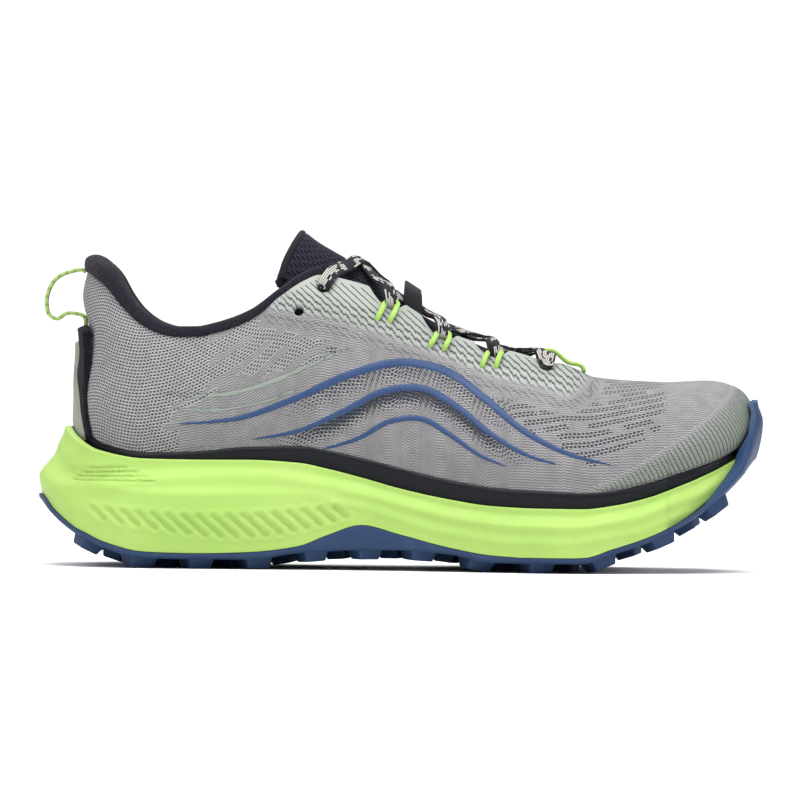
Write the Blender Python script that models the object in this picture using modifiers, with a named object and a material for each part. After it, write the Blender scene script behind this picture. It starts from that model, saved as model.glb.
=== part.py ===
"""Trail running shoe for the right foot, standing empty on its lugs.

The toe points along +X, the outer (lateral) side faces -Y and +Z is up. The origin is on the floor under
the middle of the sole. Every ring of the sole and the upper is read from one table of sections: half planes
that fan round the heel, run square across the shoe and fan again round the toe.
"""

import functools
import math

import bmesh
import bpy
import numpy as np
from mathutils import Vector

# Driving sizes of the shoe, in metres
SHOE_LENGTH = 0.300
LAST_WIDTH = 0.104
SOLE_OVERHANG = 0.008
SOLE_WIDTH = LAST_WIDTH + SOLE_OVERHANG
SOLE_HEIGHT = 0.0446
HEEL_HEIGHT = 0.122
INSTEP_HEIGHT = 0.119
TOE_HEIGHT = 0.0785

# Thicknesses and clearances
GAP = 0.0003
WALL = 0.0025
PLATE = 0.0022
LUG_DEPTH = 0.004
LIP = 0.0028
WING = 0.0030
RAND = 0.0010
FILM = 0.0008
INSOLE = 0.0040
HEEL_TAPE = 0.0014
HEEL_GUARD = 0.0012
STRAIGHT_LEAN = 0.13
LIP_REVEAL = 0.0022
BUMPER_TOP = 0.0715
BUMPER_MIDDLE = 0.0630
BUMPER = 0.0020
BUMPER_STAND_OFF = 0.00305
FOAM_EDGE_SLACK = 0.0004

# Shapes of the sole's edge, as shares of the sizes above: how much further than the upper's foot the side
# lines are read, the rubber's tuck under a flared heel, its corner and the draft of its wing's inner face,
# and the lip's thinning behind the bumper
FEATHER_SPREAD = 1.06
TUCK_FLARE = 0.3
CORNER_TUCK = 0.45
CORNER_ROUNDING = 0.0006
WING_DRAFT = 0.15
WING_COVER = 1.2
LIP_THINNED = 0.4
LIP_COVERED = 0.6
FOAM_UNDER_INSET = 0.0048
FOAM_UNDER_LEDGE = 0.0010
RAND_FOOT = 0.0015
RAND_TAPER = 0.7

# Lacing
LACE_WIDTH = 0.0058
LACE_THICKNESS = 0.0028
LACE_PINCH = 0.78
CORD_SECTION = ((-0.5, 0.0), (0.0, 0.5), (0.5, 0.0), (0.0, -0.5))
LACE_SECTION = ((-0.5, 0.0), (-0.32, 0.5), (0.32, 0.5), (0.5, 0.0), (0.32, -0.5), (-0.32, -0.5))
OVER_AND_UNDER = 0.0010
LACE_SAG = 0.0020
LOOP_CORD = 0.0018
LOOP_SECTION_SIZE = (LOOP_CORD * 1.15, LOOP_CORD * 1.1)
LOOP_SPAN = 0.0076
LOOP_REACH = 0.0115
LOOP_BEND = 0.0058
LOOP_LIFT = 0.0018
NOTCH_DEPTH = 0.0052
NOTCH_WIDTH = 0.0145
LOOP_PLACES = (0.476, 0.547, 0.620)
TOP_EYELET_PLACE = 0.388
FRONT_EYELET_PLACE = 0.694
EYELET_DIAMETER = 0.0046
EYELET_INSET = 0.0065
EYELET_DRILL = 0.016
LACE_EASE = 0.0007
LACE_OFF_FILM = 0.0003
LACE_OFF_EDGE = 0.0008
LACE_OFF_TONGUE = 0.0020
LACE_LEVEL = 0.0040
LACE_TURN_SPREAD = 0.0010
LACE_TURN_TUCK = 0.35
LACE_TURN_TWIST = 0.4

# One row for each section, heel's back to toe's tip. steps: stations up to the next row. along: where the
# section starts, as a share of the length. turn: its direction from square across, in degrees. shift: its
# start across, to the inner side. sole: the sole's half width. feather to edge: the upper's half width
# from the sole up to the collar, throat or ridge. The _in columns scale both for the inner side. flare:
# how far the foam spreads below its lip. lip: how far the lip stands off the upper. bumper, recess: the
# rubber's climb over the toe and the foam's step behind it.
SECTION_COLUMNS = (
    "steps", "along", "turn", "shift", "sole", "sole_in", "feather", "belly", "mid", "high", "edge",
    "last_in", "flare", "lip", "bumper", "recess",
)
SECTIONS = (
    (2, 0.153, -90, 0.00, 0.825, 1.00, 0.510, 0.556, 0.492, 0.556, 0.519, 1.00, 1.0, 2.4, 0, 0),
    (2, 0.153, -66, 0.00, 0.812, 1.00, 0.529, 0.580, 0.519, 0.548, 0.510, 1.00, 1.0, 2.4, 0, 0),
    (2, 0.153, -42, 0.00, 0.795, 1.00, 0.577, 0.644, 0.606, 0.567, 0.529, 1.00, 0.8, 2.4, 0, 0),
    (2, 0.153, -20, 0.00, 0.812, 1.00, 0.615, 0.692, 0.673, 0.615, 0.548, 1.00, 0.4, 1.7, 0, 0),
    (2, 0.153, 0, 0.00, 0.821, 1.00, 0.635, 0.717, 0.708, 0.654, 0.587, 1.00, 0.1, 1.0, 0, 0),
    (2, 0.215, 0, 0.00, 0.821, 0.98, 0.644, 0.731, 0.727, 0.673, 0.615, 0.98, 0.0, 1.0, 0, 0),
    (2, 0.290, 0, 0.00, 0.795, 0.92, 0.644, 0.737, 0.727, 0.654, 0.587, 0.94, 0.0, 1.0, 0, 0),
    (2, 0.360, 0, 0.00, 0.768, 0.86, 0.654, 0.746, 0.721, 0.606, 0.500, 0.88, 0.0, 1.0, 0, 0),
    (3, 0.425, 0, 0.00, 0.759, 0.82, 0.673, 0.760, 0.712, 0.548, 0.394, 0.84, 0.0, 1.0, 0, 0),
    (3, 0.490, 0, 0.00, 0.777, 0.83, 0.712, 0.788, 0.712, 0.510, 0.337, 0.85, 0.0, 1.0, 0, 0),
    (3, 0.555, 0, 0.00, 0.830, 0.89, 0.779, 0.846, 0.740, 0.500, 0.298, 0.90, 0.0, 1.0, 0, 0),
    (3, 0.610, 0, 0.01, 0.902, 0.95, 0.856, 0.923, 0.798, 0.500, 0.269, 0.94, 0.0, 1.0, 0, 0),
    (2, 0.665, 0, 0.02, 0.973, 0.97, 0.923, 0.977, 0.846, 0.490, 0.231, 0.96, 0.0, 1.0, 0, 0),
    (2, 0.702, 0, 0.03, 1.010, 0.96, 0.952, 0.996, 0.865, 0.485, 0.183, 0.955, 0.0, 1.0, 0, 0),
    (2, 0.722, 0, 0.04, 1.018, 0.947, 0.962, 1.002, 0.875, 0.495, 0.000, 0.95, 0.0, 1.0, 0, 0),
    (2, 0.790, 0, 0.09, 0.977, 0.910, 0.927, 0.969, 0.850, 0.520, 0.000, 0.89, 0.0, 1.0, 0, 0),
    (2, 0.862, 0, 0.16, 0.865, 0.890, 0.795, 0.855, 0.775, 0.520, 0.000, 0.87, 0.0, 1.0, 0, 0),
    (2, 0.862, 22, 0.16, 0.845, 0.908, 0.742, 0.812, 0.748, 0.540, 0.000, 0.88, 0.0, 1.0, 0, 0.8),
    (2, 0.862, 45, 0.16, 0.808, 0.935, 0.690, 0.770, 0.722, 0.567, 0.000, 0.91, 0.0, 1.0, 0.12, 1),
    (2, 0.862, 68, 0.16, 0.756, 0.970, 0.630, 0.728, 0.700, 0.596, 0.000, 0.96, 0.0, 1.0, 0.95, 1),
    (0, 0.862, 90, 0.16, 0.727, 1.00, 0.606, 0.712, 0.696, 0.606, 0.000, 1.00, 0.0, 1.0, 1, 1),
)

# The sole seen from the side, heel to toe. rocker: the plate's lift off the lugs' plane. rim: top of the
# rubber's edge. foam: top of the foam's lip. band: top of the dark rand. bed: what the foot bed rises to.
SIDE_COLUMNS = ("along", "rocker", "rim", "foam", "band", "bed")
SIDE_LINES = (
    (0.000, 0.516, 0.661, 1.513, 1.560, 0.874),
    (0.023, 0.370, 0.516, 1.513, 1.560, 0.874),
    (0.043, 0.265, 0.408, 1.511, 1.558, 0.874),
    (0.055, 0.213, 0.354, 1.368, 1.424, 0.865),
    (0.067, 0.175, 0.318, 1.206, 1.260, 0.852),
    (0.093, 0.094, 0.238, 1.076, 1.125, 0.830),
    (0.153, 0.000, 0.148, 1.004, 1.054, 0.807),
    (0.217, 0.000, 0.139, 1.000, 1.067, 0.798),
    (0.293, 0.000, 0.155, 1.004, 1.105, 0.785),
    (0.360, 0.063, 0.213, 0.982, 1.096, 0.751),
    (0.400, 0.083, 0.318, 0.930, 1.045, 0.717),
    (0.447, 0.099, 0.415, 0.852, 0.971, 0.668),
    (0.500, 0.101, 0.332, 0.756, 0.892, 0.605),
    (0.567, 0.070, 0.220, 0.664, 0.816, 0.543),
    (0.625, 0.000, 0.155, 0.610, 0.768, 0.500),
    (0.687, 0.000, 0.135, 0.594, 0.747, 0.482),
    (0.748, 0.000, 0.142, 0.592, 0.731, 0.480),
    (0.787, 0.081, 0.215, 0.623, 0.753, 0.507),
    (0.837, 0.193, 0.325, 0.700, 0.825, 0.578),
    (0.883, 0.341, 0.471, 0.814, 0.924, 0.691),
    (0.933, 0.574, 0.702, 0.964, 1.045, 0.880),
    (0.970, 0.807, 0.933, 1.103, 1.166, 1.035),
    (0.990, 0.953, 1.076, 1.177, 1.238, 1.110),
)

# Top edge of the upper: collar, throat and ridge of the toe box, each as a share of its own height
COLLAR_LINE = (
    (0.063, 1.000), (0.080, 0.975), (0.094, 0.946), (0.119, 0.874), (0.144, 0.820), (0.169, 0.791),
    (0.193, 0.782), (0.218, 0.783), (0.243, 0.796), (0.267, 0.815), (0.292, 0.843), (0.332, 0.918),
    (0.365, 0.973), (0.385, 0.992),
)
THROAT_LINE = (
    (0.423, 1.000), (0.457, 0.975), (0.487, 0.941), (0.510, 0.903), (0.540, 0.857), (0.570, 0.813),
    (0.603, 0.786), (0.637, 0.765), (0.667, 0.745), (0.693, 0.725), (0.722, 0.709),
)
RIDGE_LINE = ((0.741, 1.048), (0.760, 1.026), (0.790, 1.012), (0.853, 1.000), (0.920, 0.996))

# Heights of belly, mid and high between the sole and the top edge
RIB_HEIGHTS = (0.22, 0.55, 0.85)

# Side wall of the foam: share of its height, then its share of the spread below the lip, plain and flared
FOAM_COLUMNS = ("height", "plain", "flared")
FOAM_PROFILE = (
    (0.000, 0.93, 0.90),
    (0.250, 1.04, 1.00),
    (0.620, 0.96, 0.36),
    (0.740, 0.60, 0.25),
)

# Collar roll along the edge: height above the upper's edge and thickness
COLLAR_COLUMNS = ("along", "height", "thickness")
COLLAR_ROLL = (
    (0.060, 0.0062, 0.0085),
    (0.100, 0.0078, 0.0090),
    (0.140, 0.0066, 0.0090),
    (0.190, 0.0043, 0.0080),
    (0.300, 0.0043, 0.0065),
    (0.430, 0.0042, 0.0050),
)
COLLAR_END = 7.4
COLLAR_TUCK = 0.0035

# Section of the roll: how proud it stands outside and how deep it reaches, each by share of its rise
COLLAR_OUTSIDE = ((0.0004, 0.05), (0.0010, 0.45), (0.0002, 0.85))
COLLAR_TOP = ((0.42, 1.0), (0.82, 0.80), (1.0, 0.25))
COLLAR_DRAFT = 0.92

# Tongue: centre line, half width, sag of its sides and thickness, from under the vamp to its free end
TONGUE_COLUMNS = ("along", "height", "half_width", "sag", "thickness")
TONGUE = (
    (0.765, 0.600, 0.30, 0.060, 0.0028),
    (0.735, 0.630, 0.34, 0.070, 0.0028),
    (0.700, 0.680, 0.38, 0.090, 0.0028),
    (0.655, 0.722, 0.42, 0.125, 0.0030),
    (0.605, 0.762, 0.44, 0.150, 0.0034),
    (0.560, 0.820, 0.44, 0.170, 0.0038),
    (0.520, 0.875, 0.42, 0.175, 0.0042),
    (0.485, 0.958, 0.38, 0.175, 0.0048),
    (0.450, 1.035, 0.33, 0.165, 0.0054),
    (0.415, 1.085, 0.30, 0.150, 0.0058),
    (0.385, 1.128, 0.33, 0.160, 0.0058),
    (0.363, 1.168, 0.37, 0.190, 0.0050),
)
TONGUE_RINGS = 18
TONGUE_ACROSS = 8

# Films on the upper, as outlines seen from the side: shares of length and instep height
EYESTAY_OUTLINE = (
    (0.300, 1.20), (0.300, 0.880), (0.345, 0.868), (0.400, 0.845), (0.446, 0.815), (0.496, 0.770),
    (0.553, 0.722), (0.593, 0.682), (0.632, 0.645), (0.690, 0.620), (0.727, 0.585), (0.746, 0.615),
    (0.768, 0.670), (0.768, 1.20),
)
TOE_CAP_OUTLINE = (
    (1.020, 0.700), (0.958, 0.700), (0.957, 0.640), (0.927, 0.560), (0.883, 0.475), (0.833, 0.395),
    (0.787, 0.330), (0.762, 0.300),
)
TOE_CAP_FOOT = (0.750, 1.020)
TOE_CAP_OFF_RAND = 0.0012

# Tape and guard up the heel's back, seen from behind: half width as a share of the heel's, and height
HEEL_TAPE_OUTLINE = (
    (0.66, 0.415), (0.60, 0.455), (0.52, 0.520), (0.47, 0.600), (0.45, 0.760), (0.42, 0.815),
)
HEEL_GUARD_OUTLINE = (
    (0.59, 0.415), (0.52, 0.455), (0.42, 0.520), (0.32, 0.600), (0.12, 0.650), (0.26, 0.690), (0.22, 0.760),
)

# Heel pull loop: its ends' heights on the heel, its path between them in shares of length and heel height
PULL_ENDS = (0.988, 0.822)
PULL_LOOP = (
    (0.040, 0.993), (0.019, 0.965), (0.009, 0.913), (0.008, 0.878), (0.012, 0.846), (0.022, 0.833),
    (0.036, 0.852), (0.0475, 0.852),
)
PULL_RINGS = 19
PULL_WIDTH = 0.0080
PULL_THICKNESS = 0.0015

# Lugs: place along the sole, then their place across as a share of the half width, under each side
EDGE_LUGS = (0.074, 0.143, 0.221, 0.300, 0.378, 0.452, 0.525, 0.604, 0.686, 0.770, 0.851, 0.926)
INNER_LUGS = (0.112, 0.182, 0.262, 0.340, 0.415, 0.489, 0.565, 0.645, 0.728, 0.812, 0.892)
EDGE_LUG_INSET = 0.0043
INNER_LUG_ACROSS = 0.30
EDGE_LUG = (0.0118, 0.0150)
INNER_LUG = (0.0105, 0.0115)
LUG_TAPER = 0.76
LUG_SWEEP = 22
LUG_SINK = 0.6
LUG_FULL_HALF_WIDTH = 0.042

# Grooves moulded into the foam's side wall: their range, count, slope and size
RIBS = 8
RIBS_FROM = 0.165
RIBS_TO = 0.390
RIB_LOW = 0.28
RIB_HIGH = 0.62
RIB_SLANT = 0.0100
RIB_WIDTH = 0.0022
RIB_CUT = 0.0009

# Webbing keeper that bridges the laces on the tongue
KEEPER_PLACE = 0.512
KEEPER_SPAN = 0.0270
KEEPER_RISE = 0.0104
KEEPER_WIDTH = 0.0080
KEEPER_WEBBING = 0.0013
KEEPER_LIFT = 0.0030
KEEPER_ARCH = (
    (-1.0, 0.0), (-0.97, 0.45), (-0.80, 0.85), (-0.40, 1.0),
    (0.40, 1.0), (0.80, 0.85), (0.97, 0.45), (1.0, 0.0),
)

# Cord loop at the throat's foot: places along where it lies on the film with its rise there, then places
# over the first bar of the laces with their share of its half span
FRONT_LOOP_SPAN = 0.0064
FRONT_LOOP_ON_FILM = ((0.7483, -0.0011), (0.7300, 0.0005))
FRONT_LOOP_OVER_BAR = ((0.7067, 1.0), (0.6900, 0.8), (0.6833, 0.0))
FRONT_LOOP_OFF_BAR = 0.0012
FRONT_LOOP_TILT = 0.2

LATERAL, MEDIAL = -1, 1
SHOE, CUTTERS = "trail_running_shoe", "cutters"


def curve(knots, values, at):
    """Smooth curve through the values that never overshoots them, level at both ends."""
    knots, values, at = (np.asarray(a, float) for a in (knots, values, at))
    width = np.diff(knots)
    slope = np.diff(values) / width
    bend = np.zeros(len(knots))
    same_way = slope[:-1] * slope[1:] > 0
    weight_a, weight_b = 2 * width[1:] + width[:-1], width[1:] + 2 * width[:-1]
    safe = np.where(same_way, slope[:-1] * slope[1:], 1.0)
    mean = (weight_a + weight_b) * safe / (weight_a * slope[1:] + weight_b * slope[:-1] + (~same_way))
    bend[1:-1] = np.where(same_way, mean, 0.0)
    at = np.clip(at, knots[0], knots[-1])
    i = np.clip(np.searchsorted(knots, at, side="right") - 1, 0, len(width) - 1)
    t = (at - knots[i]) / width[i]
    rest = (1 - t) ** 2
    return (
        values[i] * (1 + 2 * t) * rest
        + values[i + 1] * t * t * (3 - 2 * t)
        + width[i] * bend[i] * t * rest
        - width[i] * bend[i + 1] * t * t * (1 - t)
    )


def column(table, names, name):
    return [row[names.index(name)] for row in table]


@functools.lru_cache(maxsize=None)
def section(name, row):
    """A column of SECTIONS, read at a place between its rows."""
    values = column(SECTIONS, SECTION_COLUMNS, name)
    if name in ("bumper", "recess"):
        return float(np.interp(row, range(len(values)), values))
    return float(curve(range(len(values)), values, row))


@functools.lru_cache(maxsize=None)
def side_line(name, x):
    """Height of one of the sole's lines above the floor, at x."""
    knots, values = column(SIDE_LINES, SIDE_COLUMNS, "along"), column(SIDE_LINES, SIDE_COLUMNS, name)
    height = float(curve(knots, values, x / SHOE_LENGTH + 0.5)) * SOLE_HEIGHT
    return height + LUG_DEPTH if name == "rocker" else height


@functools.lru_cache(maxsize=None)
def top_line(x):
    """Height of the upper's top edge or ridge, at x."""
    rows = [(along, share * HEEL_HEIGHT) for along, share in COLLAR_LINE]
    rows += [(along, share * INSTEP_HEIGHT) for along, share in THROAT_LINE]
    rows += [(along, share * TOE_HEIGHT) for along, share in RIDGE_LINE]
    along, height = zip(*rows)
    return float(curve(along, height, x / SHOE_LENGTH + 0.5))


def stations(first=0, last=len(SECTIONS) - 1):
    """Places between the table's rows where the rings have their points."""
    steps = column(SECTIONS, SECTION_COLUMNS, "steps")
    inner = [row + step / steps[row] for row in range(first, last) for step in range(steps[row])]
    return inner + [last]


def raw_place(row, side, radius):
    turn = math.radians(section("turn", row))
    x = (section("along", row) - 0.5) * SHOE_LENGTH + radius * math.sin(turn)
    return x, section("shift", row) * LAST_WIDTH / 2 + side * radius * math.cos(turn)


def sole_radius(row, side):
    return section("sole", row) * (section("sole_in", row) if side == MEDIAL else 1) * SOLE_WIDTH / 2


def sole_middle():
    """Middle of the sole's outline before it is centred on the origin."""
    sides = (LATERAL, MEDIAL)
    points = np.array([raw_place(row, side, sole_radius(row, side)) for row in stations() for side in sides])
    return (points.min(0) + points.max(0)) / 2


MIDDLE_X, MIDDLE_Y = sole_middle()


def place(row, side, radius):
    """Point on the ground plan, radius out along a section."""
    x, y = raw_place(row, side, radius)
    return x - MIDDLE_X, y - MIDDLE_Y


def point(row, side, radius, height):
    return (*place(row, side, radius), height)


def loop_x(share):
    return (share - 0.5) * SHOE_LENGTH - MIDDLE_X


@functools.lru_cache(maxsize=None)
def notch(x):
    """Depth of the throat's scallops, one at each lace loop."""
    reach = [max(0.0, 1 - (2 * (x - loop_x(share)) / NOTCH_WIDTH) ** 2) for share in LOOP_PLACES]
    return NOTCH_DEPTH * max(reach)


@functools.lru_cache(maxsize=None)
def rib(row, side):
    """Outer face of the upper in one section, as (radius, height) from the foot bed to the top edge."""
    half = LAST_WIDTH / 2
    inner = section("last_in", row) if side == MEDIAL else 1.0
    foot = section("feather", row) * inner * half
    bed = side_line("bed", place(row, side, foot)[0])
    straight_x = place(row, side, foot * FEATHER_SPREAD)[0]
    straight_top = max(side_line("band", straight_x), side_line("foam", straight_x) + LIP_REVEAL)
    straight = foot + STRAIGHT_LEAN * (straight_top - bed)
    edge = section("edge", row) * half
    top = top_line(place(row, side, edge)[0])
    knots = [(straight, straight_top)]
    for name, share in zip(("belly", "mid", "high"), RIB_HEIGHTS):
        scale = inner + (1 - inner) * share
        knots.append((section(name, row) * scale * half, straight_top + (top - straight_top) * share))
    along = knots[-1]
    length = math.hypot(edge - along[0], top - along[1])
    cut = notch(place(row, side, edge)[0]) / length if edge > 0 else 0.0
    knots.append((edge + (along[0] - edge) * cut, top + (along[1] - top) * cut))
    return [(foot, bed), *knots]


def spline(knots, values, at):
    """Curve through the values with the slopes of their neighbours."""
    knots, values, at = (np.asarray(a, float) for a in (knots, values, at))
    bend = np.gradient(values, knots)
    i = np.clip(np.searchsorted(knots, at, side="right") - 1, 0, len(knots) - 2)
    width = knots[i + 1] - knots[i]
    t = (at - knots[i]) / width
    rest = (1 - t) ** 2
    return (
        values[i] * (1 + 2 * t) * rest
        + values[i + 1] * t * t * (3 - 2 * t)
        + width * bend[i] * t * rest
        - width * bend[i + 1] * t * t * (1 - t)
    )


def rib_radius(row, side, height):
    radii, heights = zip(*rib(row, side))
    return float(np.interp(height, heights, radii))


def around(rows, make):
    """Closed ring of points: the outer side from heel to toe, then the inner side back again."""
    outer = [make(row, LATERAL) for row in rows]
    return outer + [make(row, MEDIAL) for row in rows[-2:0:-1]]


def collection(name):
    found = bpy.data.collections.get(name)
    if not found:
        found = bpy.data.collections.new(name)
        bpy.context.scene.collection.children.link(found)
    return found


def add_object(name, data, home=SHOE):
    made = bpy.data.objects.new(name, data)
    collection(home).objects.link(made)
    if home == CUTTERS:
        made.hide_render = True
        made.display_type = "WIRE"
    return made


def mesh_object(name, points, faces, home=SHOE):
    """Object with those faces, its doubled points welded and its faces turned outwards."""
    mesh = bpy.data.meshes.new(name)
    mesh.from_pydata(points, [], faces)
    work = bmesh.new()
    work.from_mesh(mesh)
    bmesh.ops.remove_doubles(work, verts=work.verts, dist=1e-6)
    bmesh.ops.recalc_face_normals(work, faces=work.faces)
    work.to_mesh(mesh)
    work.free()
    return add_object(name, mesh, home)


def strips(ring_count, size, closed=True):
    """Quads between neighbouring rings of that many points."""
    last = size if closed else size - 1
    quads = []
    for low in range(0, (ring_count - 1) * size, size):
        high = low + size
        quads += [(low + i, low + (i + 1) % size, high + (i + 1) % size, high + i) for i in range(last)]
    return quads


def across(start, size):
    """Faces that close a ring made by around(), straight across from side to side."""
    faces = [(start, start + 1, start + size - 1)]
    half = size // 2
    for i in range(1, half - 1):
        faces.append((start + i, start + i + 1, start + size - i - 1, start + size - i))
    faces.append((start + half - 1, start + half, start + half + 1))
    return faces


def lofted(name, rings, home=SHOE):
    """Closed solid through rings made by around(), closed across at both ends."""
    size = len(rings[0])
    faces = strips(len(rings), size) + across(0, size) + across((len(rings) - 1) * size, size)
    return mesh_object(name, [p for ring in rings for p in ring], faces, home)


def modifier(target, kind, **settings):
    made = target.modifiers.new(kind.title(), kind)
    for name, value in settings.items():
        setattr(made, name, value)
    return made


def boolean(target, cutter, operation):
    return modifier(target, "BOOLEAN", object=cutter, operation=operation, solver="EXACT")


def material(target, name, colour, roughness):
    """Gives the object its own Principled material."""
    made = bpy.data.materials.get(name) or bpy.data.materials.new(name)
    made.use_nodes = True
    shader = made.node_tree.nodes["Principled BSDF"]
    shader.inputs["Base Color"].default_value = (*colour, 1)
    shader.inputs["Roughness"].default_value = roughness
    shader.inputs["Metallic"].default_value = 0
    target.data.materials.clear()
    target.data.materials.append(made)


def smooth_shaded(target, angle=40):
    target.data.shade_smooth()
    target.data.set_sharp_from_angle(angle=math.radians(angle))


def plate_top(x):
    return side_line("rocker", x) + PLATE


def lip_gap(row):
    """Room between the upper and the foam's lip, for the rand or the heel's tape and guard."""
    return (RAND + 2 * GAP) * section("lip", row)


@functools.lru_cache(maxsize=None)
def foam_top(row, side):
    """Radius and height of the inner edge of the foam's lip."""
    foot = section("feather", row) * LAST_WIDTH / 2
    height = side_line("foam", place(row, side, foot * FEATHER_SPREAD)[0])
    return rib_radius(row, side, height) + lip_gap(row), height


def lip_width(row):
    """Width of the foam's lip, thinner behind the bumper."""
    return LIP * (1 - LIP_THINNED * section("recess", row))


def bumper_inner(row, side, height):
    """Inner face of the rubber over the toe: round the foam's lip, then against the toe cap."""
    if height <= foam_top(row, side)[1] + 2 * GAP:
        return foam_outer(row, side) + 2 * GAP
    return rib_radius(row, side, height) + BUMPER_STAND_OFF


def foam_outer(row, side):
    """Outermost radius of the foam, drawn in behind the toe bumper."""
    wide = sole_radius(row, side)
    drawn_in = min(foam_top(row, side)[0] + LIP * LIP_COVERED, wide - WING * WING_COVER - 2 * GAP)
    return wide + (drawn_in - wide) * min(1.0, 2 * section("recess", row))


def rim_height(row, side):
    """Top of the rubber's edge, never under its own plate."""
    x = place(row, side, sole_radius(row, side))[0]
    return max(side_line("rim", x), plate_top(x))


def outsole_rings():
    rows = stations()

    def tuck(row):
        return WING * (1.0 + TUCK_FLARE * section("flare", row) + section("recess", row))

    def bottom(row, side):
        radius = sole_radius(row, side) - tuck(row)
        return point(row, side, radius, side_line("rocker", place(row, side, radius)[0]))

    def corner(row, side):
        radius = sole_radius(row, side) - CORNER_TUCK * tuck(row)
        low = side_line("rocker", place(row, side, radius)[0])
        return point(row, side, radius, low + CORNER_ROUNDING)

    def bumper_height(row, side):
        low = rim_height(row, side)
        return low + (BUMPER_TOP - low) * section("bumper", row)

    def outer_middle(row, side):
        height = (corner(row, side)[2] + rim_height(row, side)) / 2
        height += (BUMPER_MIDDLE - height) * section("bumper", row)
        return point(row, side, sole_radius(row, side), height)

    def top_inner(row, side):
        height = bumper_height(row, side)
        if section("bumper", row):
            return point(row, side, bumper_inner(row, side, height), height)
        return point(row, side, sole_radius(row, side) - WING, height)

    def top_outer(row, side):
        climb, height = section("bumper", row), bumper_height(row, side)
        if not climb:
            return point(row, side, sole_radius(row, side), height)
        wrapped = bumper_inner(row, side, height) + BUMPER
        over_toe = bumper_inner(row, side, BUMPER_TOP) + BUMPER
        mixed = sole_radius(row, side) * (1 - climb) + over_toe * climb
        return point(row, side, max(wrapped, mixed), height)

    def inner_middle(row, side):
        low = plate_top(place(row, side, sole_radius(row, side) - WING)[0])
        if section("bumper", row):
            foam, top = foam_top(row, side)[1], bumper_height(row, side)
            height = min(BUMPER_MIDDLE, (foam + top) / 2) if top > foam + BUMPER else (low + top) / 2
            radius = max(bumper_inner(row, side, height) + GAP, foam_outer(row, side) + 2 * GAP)
            return point(row, side, radius, height)
        radius = sole_radius(row, side) - WING * (1 + WING_DRAFT)
        return point(row, side, radius, (low + rim_height(row, side)) / 2)

    def inner_bottom(row, side):
        radius = sole_radius(row, side) - WING * (1 + 2 * WING_DRAFT)
        if section("bumper", row):
            radius = foam_outer(row, side) + 2 * GAP
        return point(row, side, radius, plate_top(place(row, side, radius)[0]))

    return [
        around(rows, bottom),
        around(rows, corner),
        around(rows, outer_middle),
        around(rows, top_outer),
        around(rows, top_inner),
        around(rows, inner_middle),
        around(rows, inner_bottom),
    ]


def lug(work, x, y, size, turn):
    """One tapered block, square to the plate, its foot sunk in it."""
    low = side_line("rocker", x)
    tilt = math.atan((side_line("rocker", x + PLATE) - side_line("rocker", x - PLATE)) / (2 * PLATE))
    sunk = PLATE * LUG_SINK
    depth = LUG_DEPTH + sunk
    made = bmesh.ops.create_cone(
        work, cap_ends=True, segments=4, radius1=LUG_TAPER * math.sqrt(0.5), radius2=math.sqrt(0.5), depth=1
    )
    length, width = size
    cos, sin = math.cos(math.radians(turn)), math.sin(math.radians(turn))
    for vert in made["verts"]:
        # The four-sided cone stands on its corners, so it is turned an eighth to lie square.
        a, b, h = vert.co
        across_x, across_y = (a - b) * math.sqrt(0.5) * length, (a + b) * math.sqrt(0.5) * width
        along_x, along_y = across_x * cos - across_y * sin, across_x * sin + across_y * cos
        height = (h - 0.5) * depth + sunk
        vert.co = (
            x + along_x * math.cos(tilt) - height * math.sin(tilt),
            y + along_y,
            max(0.0, low + along_x * math.sin(tilt) + height * math.cos(tilt)),
        )


def half_width_at(x, side):
    """The sole's edge at x, as a distance across from the origin."""
    edge = [place(row, side, sole_radius(row, side)) for row in stations()]
    xs, ys = zip(*edge)
    return float(np.interp(x, xs, ys))


def add_outsole():
    outsole = lofted("outsole", outsole_rings())
    work = bmesh.new()
    edge_row = (EDGE_LUGS, None, EDGE_LUG, LUG_SWEEP)
    inner_row = (INNER_LUGS, INNER_LUG_ACROSS, INNER_LUG, -LUG_SWEEP)
    for places, share, size, lean in (edge_row, inner_row):
        for along in places:
            x = (along - 0.5) * SHOE_LENGTH
            outer, inner = half_width_at(x, LATERAL), half_width_at(x, MEDIAL)
            middle, half = (outer + inner) / 2, (inner - outer) / 2
            scale = min(1.0, half / LUG_FULL_HALF_WIDTH)
            length, width = size[0] * scale, size[1] * scale
            reach = share * half if share else half - EDGE_LUG_INSET - width / 2
            for side in (LATERAL, MEDIAL):
                lug(work, x, middle + side * reach, (length, width), -side * lean)
    mesh = bpy.data.meshes.new("lugs")
    bmesh.ops.recalc_face_normals(work, faces=work.faces)
    work.to_mesh(mesh)
    work.free()
    boolean(outsole, add_object("lugs", mesh, CUTTERS), "UNION")
    material(outsole, "outsole_rubber", (0.035, 0.085, 0.24), 0.6)
    return outsole


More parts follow.
